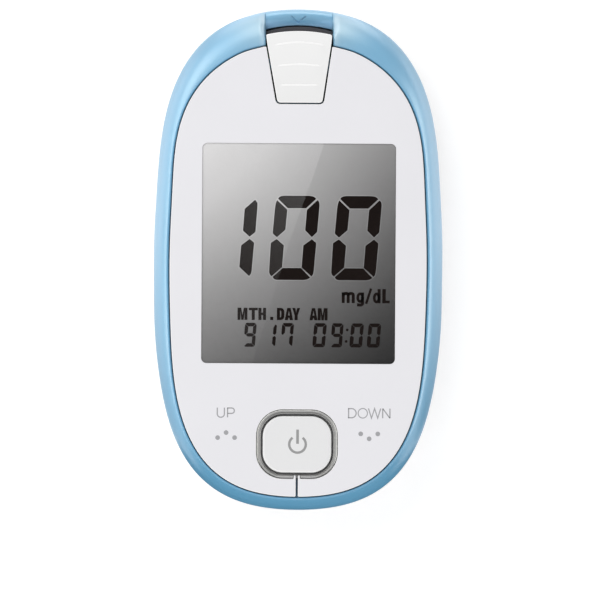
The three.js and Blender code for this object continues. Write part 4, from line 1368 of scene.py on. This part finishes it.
def temp(me):
    ob = bpy.data.objects.new("temp_" + me.name, me)
    bpy.context.scene.collection.objects.link(ob)
    return ob


def boolean(ob, meshes, op="DIFFERENCE"):
    cutters = [temp(m) for m in meshes]
    for i, c in enumerate(cutters):
        mod = ob.modifiers.new("b%d" % i, "BOOLEAN")
        mod.operation = op
        mod.solver = "EXACT"
        mod.object = c
    deps = bpy.context.evaluated_depsgraph_get()
    me = bpy.data.meshes.new_from_object(ob.evaluated_get(deps))
    ob.modifiers.clear()
    ob.data = me
    for c in cutters:
        data = c.data
        bpy.data.objects.remove(c)
        bpy.data.meshes.remove(data)
    return ob


def apply_all(ob):
    deps = bpy.context.evaluated_depsgraph_get()
    me = bpy.data.meshes.new_from_object(ob.evaluated_get(deps))
    ob.modifiers.clear()
    ob.data = me
    return ob


def soften(ob, bevel, angle=35, segs=2, sharp=40):
    """Rounded edges, then normals that keep the flat faces flat."""
    if bevel:
        b = ob.modifiers.new("bevel", "BEVEL")
        b.width = bevel * MM
        b.segments = segs
        b.limit_method = "ANGLE"
        b.angle_limit = math.radians(angle)
        b.use_clamp_overlap = True
        apply_all(ob)
    me = ob.data
    me.polygons.foreach_set("use_smooth", [True] * len(me.polygons))
    me.set_sharp_from_angle(angle=math.radians(sharp))
    w = ob.modifiers.new("weighted", "WEIGHTED_NORMAL")
    w.keep_sharp = True
    w.weight = 80
    apply_all(ob)
    return ob


Aoff = lambda o, z: off_row(OUTER, o, z)
rows = [Aoff(bezier([-7.2, -2.9, -0.5, -0.2], u), bezier([0, 0, 3.4, 8.8], u)) for u in [0, 0.03, 0.06, 0.1, 0.15, 0.2, 0.26, 0.32, 0.38, 0.44, 0.5, 0.56, 0.62, 0.68, 0.74, 0.8, 0.86, 0.91, 0.95]]
rows += [Aoff(-0.2, 8.66), Aoff(-0.23, 8.74), Aoff(-0.3, 8.79), Aoff(-0.4, 8.8), Aoff(-2.1, 8.8), Aoff(-2.1, 10.3), Aoff(-3.0, 10.3), Aoff(-3.1, 8.4)]
rows += [Aoff(bezier([-8.4, -4.6, -2.6, -2.4], u), bezier([1.6, 1.6, 4.2, 7.6], u)) for u in (1, 0.8, 0.6, 0.4, 0.2, 0)]
rear = temp(turned_mesh("rear_shell", rows))
rear.name = "rear_shell"
circle = lambda x, y, r, n=40: arc(x, y, r, r, 0, 360 * (n - 1) / n, n)
well_outer = prism_mesh("well_outer", rounded(0, -4.0, 26, 48.6, 1.0, 6, 9), 1.0, 7.2)
bosses = [prism_mesh("boss", circle(x, y, 2.9), 1.0, 7.9) for _, x, y in SCREWS]
boolean(rear, [well_outer] + bosses, "UNION")
cut = [prism_mesh("well", rounded(0, -3.85, 21.8, 43.5, 0.6, 5, 9), 1.2, 6.2),
       prism_mesh("door", rounded(0, -4.05, 24.5, 47.0, 2.25, 10, 9), -1, 1.6)]
for _, x, y in SCREWS:
    cut += [prism_mesh("sink", circle(x, y, 2.2), -1, 2.7), prism_mesh("hole", circle(x, y, 1.25, 24), 2, 9)]
for x in (-7, 7):
    cut.append(prism_mesh("hook", rounded(x, 19.45, 4.6, 3.9, 0.3, 3, 9), 1.55, 3.6))
cut.append(prism_mesh("tab", rounded(0, -26.5, 8.4, 2.4, 0.3, 3, 9), 1.2, 3.2))
for y in CELLS:
    cut += [prism_mesh("spring_gap", rounded(0, y + 8.2, 6, 1.2, 0.2, 3, 9), 6, 8), prism_mesh("clip_gap", rounded(10.415, y, 0.93, 5.8, 0.2, 3, 9), 6, 8)]
cut.append(prism_mesh("label", rounded(0, 29.5, 24, 12, 1.6, 8, 9), -1, 0.25))
for x in (-11, -8, -5):
    cut.append(prism_mesh("sound", circle(x, 38, 0.6, 20), -1, 3))
boolean(rear, cut)
soften(rear, 0.14, angle=50, segs=2, sharp=60)
dress(rear, "root", REAR_WHITE, ["rear_cover"])

# battery cover
door = temp(prism_mesh("door_skin", rounded(0, -4.05, 24, 46.5, 2.0, 12, 9), 0.05, 1.45))
door.name = "battery_cover_skin"
add_m = []
for x in (-7, 7):
    add_m += [prism_mesh("hook_foot", rounded(x, 18.65, 3.8, 0.9, 0.15, 3, 9), 1.2, 2.5), prism_mesh("hook_nose", rounded(x, 19.45, 3.8, 2.5, 0.25, 3, 9), 1.85, 2.5)]
add_m.append(prism_mesh("tab_nose", rounded(0, -26.7, 6.8, 1.2, 0.2, 3, 9), 1.3, 2.4))
boolean(door, add_m, "UNION")
cut = [prism_mesh("slot", rounded(x, -24.8, 0.6, 6.6, 0.25, 5, 9), -1, 3) for x in (-4.3, 4.3)]
cut.append(prism_mesh("dimple", rounded(0, -24.2, 6.4, 2.6, 1.2, 10, 9), -1, 0.65))
arrow = [(-1.5, -18.3), (0, -20.6), (1.5, -18.3), (0.9, -18.3), (0, -19.7), (-0.9, -18.3)]
cut.append(prism_mesh("arrow", np.array(arrow), -1, 0.25))
for k in range(4):
    cut.append(prism_mesh("grip", rounded(0, -13.0 - 1.15 * k, 9 - 0.8 * k, 0.5, 0.24, 5, 9), -1, 0.3))
boolean(door, cut)
soften(door, 0.12, angle=50, segs=2, sharp=60)
dress(door, "battery_cover", REAR_WHITE, ["battery_cover"])


# the ring stands back where the keys' lips run in beside the slit
boolean(trim, [prism_mesh("lip_gap", [(-TAB[0] - 0.12, -43), (TAB[0] + 0.12, -43), (TAB[0] + 0.12, TAB[1] + 0.1), (-TAB[0] - 0.12, TAB[1] + 0.1)], 15.6, 19)])
trim.data.set_sharp_from_angle(angle=math.radians(38))
# engraved mark that points to the slot
boolean(recess, [insertion_cutter()])
recess.data.set_sharp_from_angle(angle=math.radians(32))

# ---------------------------------------------------------------- inner pieces: CAD shapes with rounded edges
def refine(node, material, bevel=0.08, angle=40, sharp=35, body=None):
    src = frame["nodes"][node]
    bm = bmesh.new()
    bm.from_mesh(src.data)
    bmesh.ops.remove_doubles(bm, verts=bm.verts, dist=1e-6)
    bmesh.ops.dissolve_limit(bm, angle_limit=math.radians(0.6), verts=bm.verts, edges=bm.edges)
    me = bpy.data.meshes.new(node + "_fine")
    bm.to_mesh(me)
    bm.free()
    ob = bpy.data.objects.new(node + "_fine", me)
    bpy.context.scene.collection.objects.link(ob)
    soften(ob, bevel, angle, 2, sharp)
    return dress(ob, body or src["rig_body"], material, [node])


for node, mat, slot_name, bev in (
        ("lcd_glass", LCD, "lcd_glass", 0.05), ("lcd_frame", WHITE, "white_casing", 0.15),
        ("zebra_connector_top", RUBBER, "rubber", 0.1), ("zebra_connector_bottom", RUBBER, "rubber", 0.1),
        ("main_board", BOARD, "circuit_board", 0.05), ("microcontroller", BLACK, "black_plastic", 0.12),
        ("measuring_chip", BLACK, "black_plastic", 0.1), ("clock_crystal", STEEL, "steel", 0.35), ("capacitor", GOLD, "contact_metal", 0.12),
        ("buzzer", BLACK, "black_plastic", 0.2), ("power_switch", BLACK, "black_plastic", 0.1), ("up_switch", BLACK, "black_plastic", 0.1),
        ("down_switch", BLACK, "black_plastic", 0.1), ("strip_connector", BLACK, "black_plastic", 0.06),
        ("strip_contact_1", GOLD, "contact_metal", 0.03), ("strip_contact_2", GOLD, "contact_metal", 0.03),
        ("strip_contact_3", GOLD, "contact_metal", 0.03), ("strip_contact_4", GOLD, "contact_metal", 0.03),
        ("port_guide", GUIDE, "black_plastic", 0.12), ("housing_screw_top_left", STEEL, "steel", 0.08),
        ("housing_screw_top_right", STEEL, "steel", 0.08), ("housing_screw_bottom_left", STEEL, "steel", 0.08),
        ("housing_screw_bottom_right", STEEL, "steel", 0.08), ("battery_cell_1", CELL, "steel", 0.15), ("battery_cell_2", CELL, "steel", 0.15),
        ("battery_spring_1", GOLD, "contact_metal", 0.06), ("battery_spring_2", GOLD, "contact_metal", 0.06),
        ("battery_clip_1", STEEL, "steel", 0.06), ("battery_clip_2", STEEL, "steel", 0.06), ("power_plunger", RUBBER, "rubber", 0.12),
        ("up_plunger", RUBBER, "rubber", 0.12), ("down_plunger", RUBBER, "rubber", 0.12), ("ejector_carriage", BLACK, "black_plastic", 0.1)):
    refine(node, mat, bev)
spring = frame["nodes"]["ejector_spring"]
spring.data.materials.clear()
spring.data.materials.append(STEEL)
for p in spring.data.polygons:
    p.use_smooth = True

# ---------------------------------------------------------------- floor, light and camera
CAM_H = 1514.0
CAM_X, CAM_Y = 0.41, -7.9
floor_m = surface("pale_floor", (0.95, 0.95, 0.95), 0.7, vary=0.004, rough_vary=0.03, grain=600, grain_depth=0.00002, grain_strength=0.1, spec=0.2)
glow = [n for n in floor_m.node_tree.nodes if n.type == "BSDF_PRINCIPLED"][0]
glow.inputs["Emission Color"].default_value = (1, 1, 1, 1)
glow.inputs["Emission Strength"].default_value = 0.2
me = bpy.data.meshes.new("floor")
me.from_pydata([(-2.5, -2.5, -0.0001), (2.5, -2.5, -0.0001), (2.5, 2.5, -0.0001), (-2.5, 2.5, -0.0001)], [], [(0, 1, 2, 3)])
floor = bpy.data.objects.new("floor", me)
bpy.context.scene.collection.objects.link(floor)
me.materials.append(floor_m)


def card(name, pts, strength, fade=None, slant=None):
    """A card only seen in reflections: dark flag or soft glare."""
    me = bpy.data.meshes.new(name)
    me.from_pydata([(x * MM, y * MM, z * MM) for x, y, z in pts], [], [list(range(len(pts)))])
    ob = bpy.data.objects.new(name, me)
    bpy.context.scene.collection.objects.link(ob)
    m, nt = nodes_of(name)
    em = nt.nodes.new("ShaderNodeEmission")
    em.inputs["Strength"].default_value = strength
    if fade:
        tc = nt.nodes.new("ShaderNodeTexCoord")
        sep = nt.nodes.new("ShaderNodeSeparateXYZ")
        link(nt, tc.outputs["Object"], sep.inputs[0])
        v = remap(nt, sep.outputs[1], strength * fade[2], strength, fade[0] * MM, fade[1] * MM)
        if len(fade) > 3:
            far = math_node(nt, "ABSOLUTE", sep.outputs[fade[3]])
            v = math_node(nt, "MULTIPLY", v, remap(nt, far, fade[6], 1.0, fade[4] * MM, fade[5] * MM))
        if slant:
            u = math_node(nt, "ADD", math_node(nt, "MULTIPLY", sep.outputs[0], slant[0]), math_node(nt, "MULTIPLY", sep.outputs[1], slant[1]))
            v = math_node(nt, "MULTIPLY", v, remap(nt, u, slant[4], 1.0, slant[2] * MM, slant[3] * MM))
        link(nt, v, em.inputs["Strength"])
    out = nt.nodes.new("ShaderNodeOutputMaterial")
    link(nt, em.outputs[0], out.inputs["Surface"])
    me.materials.append(m)
    ob.visible_camera = False
    ob.visible_diffuse = False
    ob.visible_shadow = False
    ob.visible_transmission = False
    return ob


def mirrored(p, h):
    """Point at height h that the camera sees mirrored at pane point p."""
    k = (h - 17.95) / (CAM_H - 17.95)
    return (p[0] + (p[0] - CAM_X) * k, p[1] + (p[1] - CAM_Y) * k, h)


flag_h, glare_h = 1000.0, 985.0
card("dark_flag", [mirrored(p, flag_h) for p in ((-24, -27), (24, -27), (24, 29), (-24, 29))], 0.03)
edge = [(px(x, y, 297.9)) for x, y in ((325, 138), (312.5, 176), (288, 245), (270.4, 306), (252, 366))]
card("glare_card", [mirrored(p, glare_h) for p in [(-22, -22)] + edge[::-1] + [(5.2, 26), (-22, 26)]], 1.1, (-4, 52, 0.2), (0.607, -0.194, -23.4, -3.4, 0.5))
card("low_flag", [(-60, -66, 0.3), (60, -66, 0.3), (60, -66, 120), (-60, -66, 120)], 0.0)
card("low_flag_foot", [(-40, -66, 0.3), (40, -66, 0.3), (30, -38, 0.3), (0, -46, 0.3), (-30, -38, 0.3)], 0.0)


def area(name, loc, target, sx, sy, watts, color=(1, 1, 1)):
    d = bpy.data.lights.new(name, "AREA")
    d.shape = "RECTANGLE"
    d.size, d.size_y = sx, sy
    d.energy = watts
    d.color = color
    ob = bpy.data.objects.new(name, d)
    ob.location = loc
    v = Vector(target) - Vector(loc)
    ob.rotation_euler = v.to_track_quat("-Z", "Y").to_euler()
    bpy.context.scene.collection.objects.link(ob)
    return ob


# the side strips shine on the blue shell and the ring only, so that the white faces stay readable from low angles
GLOSSY_PIECES = bpy.data.collections.new("glossy_pieces")
for piece in (shell, recess, trim):
    GLOSSY_PIECES.objects.link(piece)


def glossy_only(ob):
    ob.visible_diffuse = False
    ob.visible_camera = False
    ob.light_linking.receiver_collection = GLOSSY_PIECES
    return ob


def diffuse_only(ob):
    ob.visible_glossy = False
    ob.visible_camera = False
    return ob


top = area("overhead_light", (0.0, 0.0, 1.15), (0, 0, 0.01), 1.5, 1.5, 3.22)
top.visible_camera = False
diffuse_only(area("key_light", (-0.25, 0.30, 0.47), (0, 0, 0.01), 0.5, 0.4, 1.2))
diffuse_only(area("front_fill", (0.0, -0.55, 0.38), (0, 0, 0.01), 1.0, 0.5, 1.68))
glossy_only(area("left_strip", (-0.55, 0.12, 0.30), (0, 0, 0.01), 0.9, 0.5, 3.4 * PI * 0.45, (1.0, 0.985, 0.9)))
glossy_only(area("right_strip", (0.575, 0.01, 0.30), (0, 0, 0.01), 0.68, 0.5, 3.5 * PI * 0.34, (1.0, 0.985, 0.92)))
glossy_only(area("far_strip", (-0.15, 0.59, 0.26), (0, 0, 0.01), 0.82, 0.36, 1.7 * PI * 0.2952))
glossy_only(area("far_spot", (0.0, 0.62, 0.2), (0, 0, 0.01), 0.42, 0.4, 2.2 * PI * 0.168, (1.0, 0.98, 0.9)))
card("notch_reflector", [(-13, 51, 0.4), (13, 51, 0.4), (80, 600, 0.4), (-80, 600, 0.4)], 2.0)
card("left_reflector", [(-31, -40, 0.2), (-29, 0, 0.2), (-27, 60, 0.2), (-250, 150, 0.2), (-250, -60, 0.2)][::-1], 2.4, (-34, 5, 0.45, 0, 29, 50, 0.5))
card("right_reflector", [(31, -40, 0.2), (29, 0, 0.2), (27, 60, 0.2), (250, 150, 0.2), (250, -60, 0.2)], 2.2, (-34, 5, 0.2, 0, 29, 50, 0.45))
card("far_reflector", [(-27, 60.5, 0.2), (0, 50, 0.2), (27, 60.5, 0.2), (200, 300, 0.2), (-200, 300, 0.2)], 2.6)

world = bpy.data.worlds.new("world")
bpy.context.scene.world = world
world.use_nodes = True
world.node_tree.nodes["Background"].inputs[0].default_value = (1, 1, 1, 1)
world.node_tree.nodes["Background"].inputs[1].default_value = 0.5

cam_d = bpy.data.cameras.new("camera")
cam_d.sensor_width = 36
cam_d.lens = 36 * (CAM_H - 14.0) / (600 * 0.19357)
cam_d.clip_end = 20
cam_d.clip_start = 0.01
cam = bpy.data.objects.new("camera", cam_d)
cam.location = (CAM_X * MM, CAM_Y * MM, CAM_H * MM)
cam.rotation_euler = (0, 0, math.radians(0.35))
bpy.context.scene.collection.objects.link(cam)
bpy.context.scene.camera = cam
bpy.context.scene.view_settings.view_transform = "Standard"
bpy.context.scene.view_settings.look = "None"
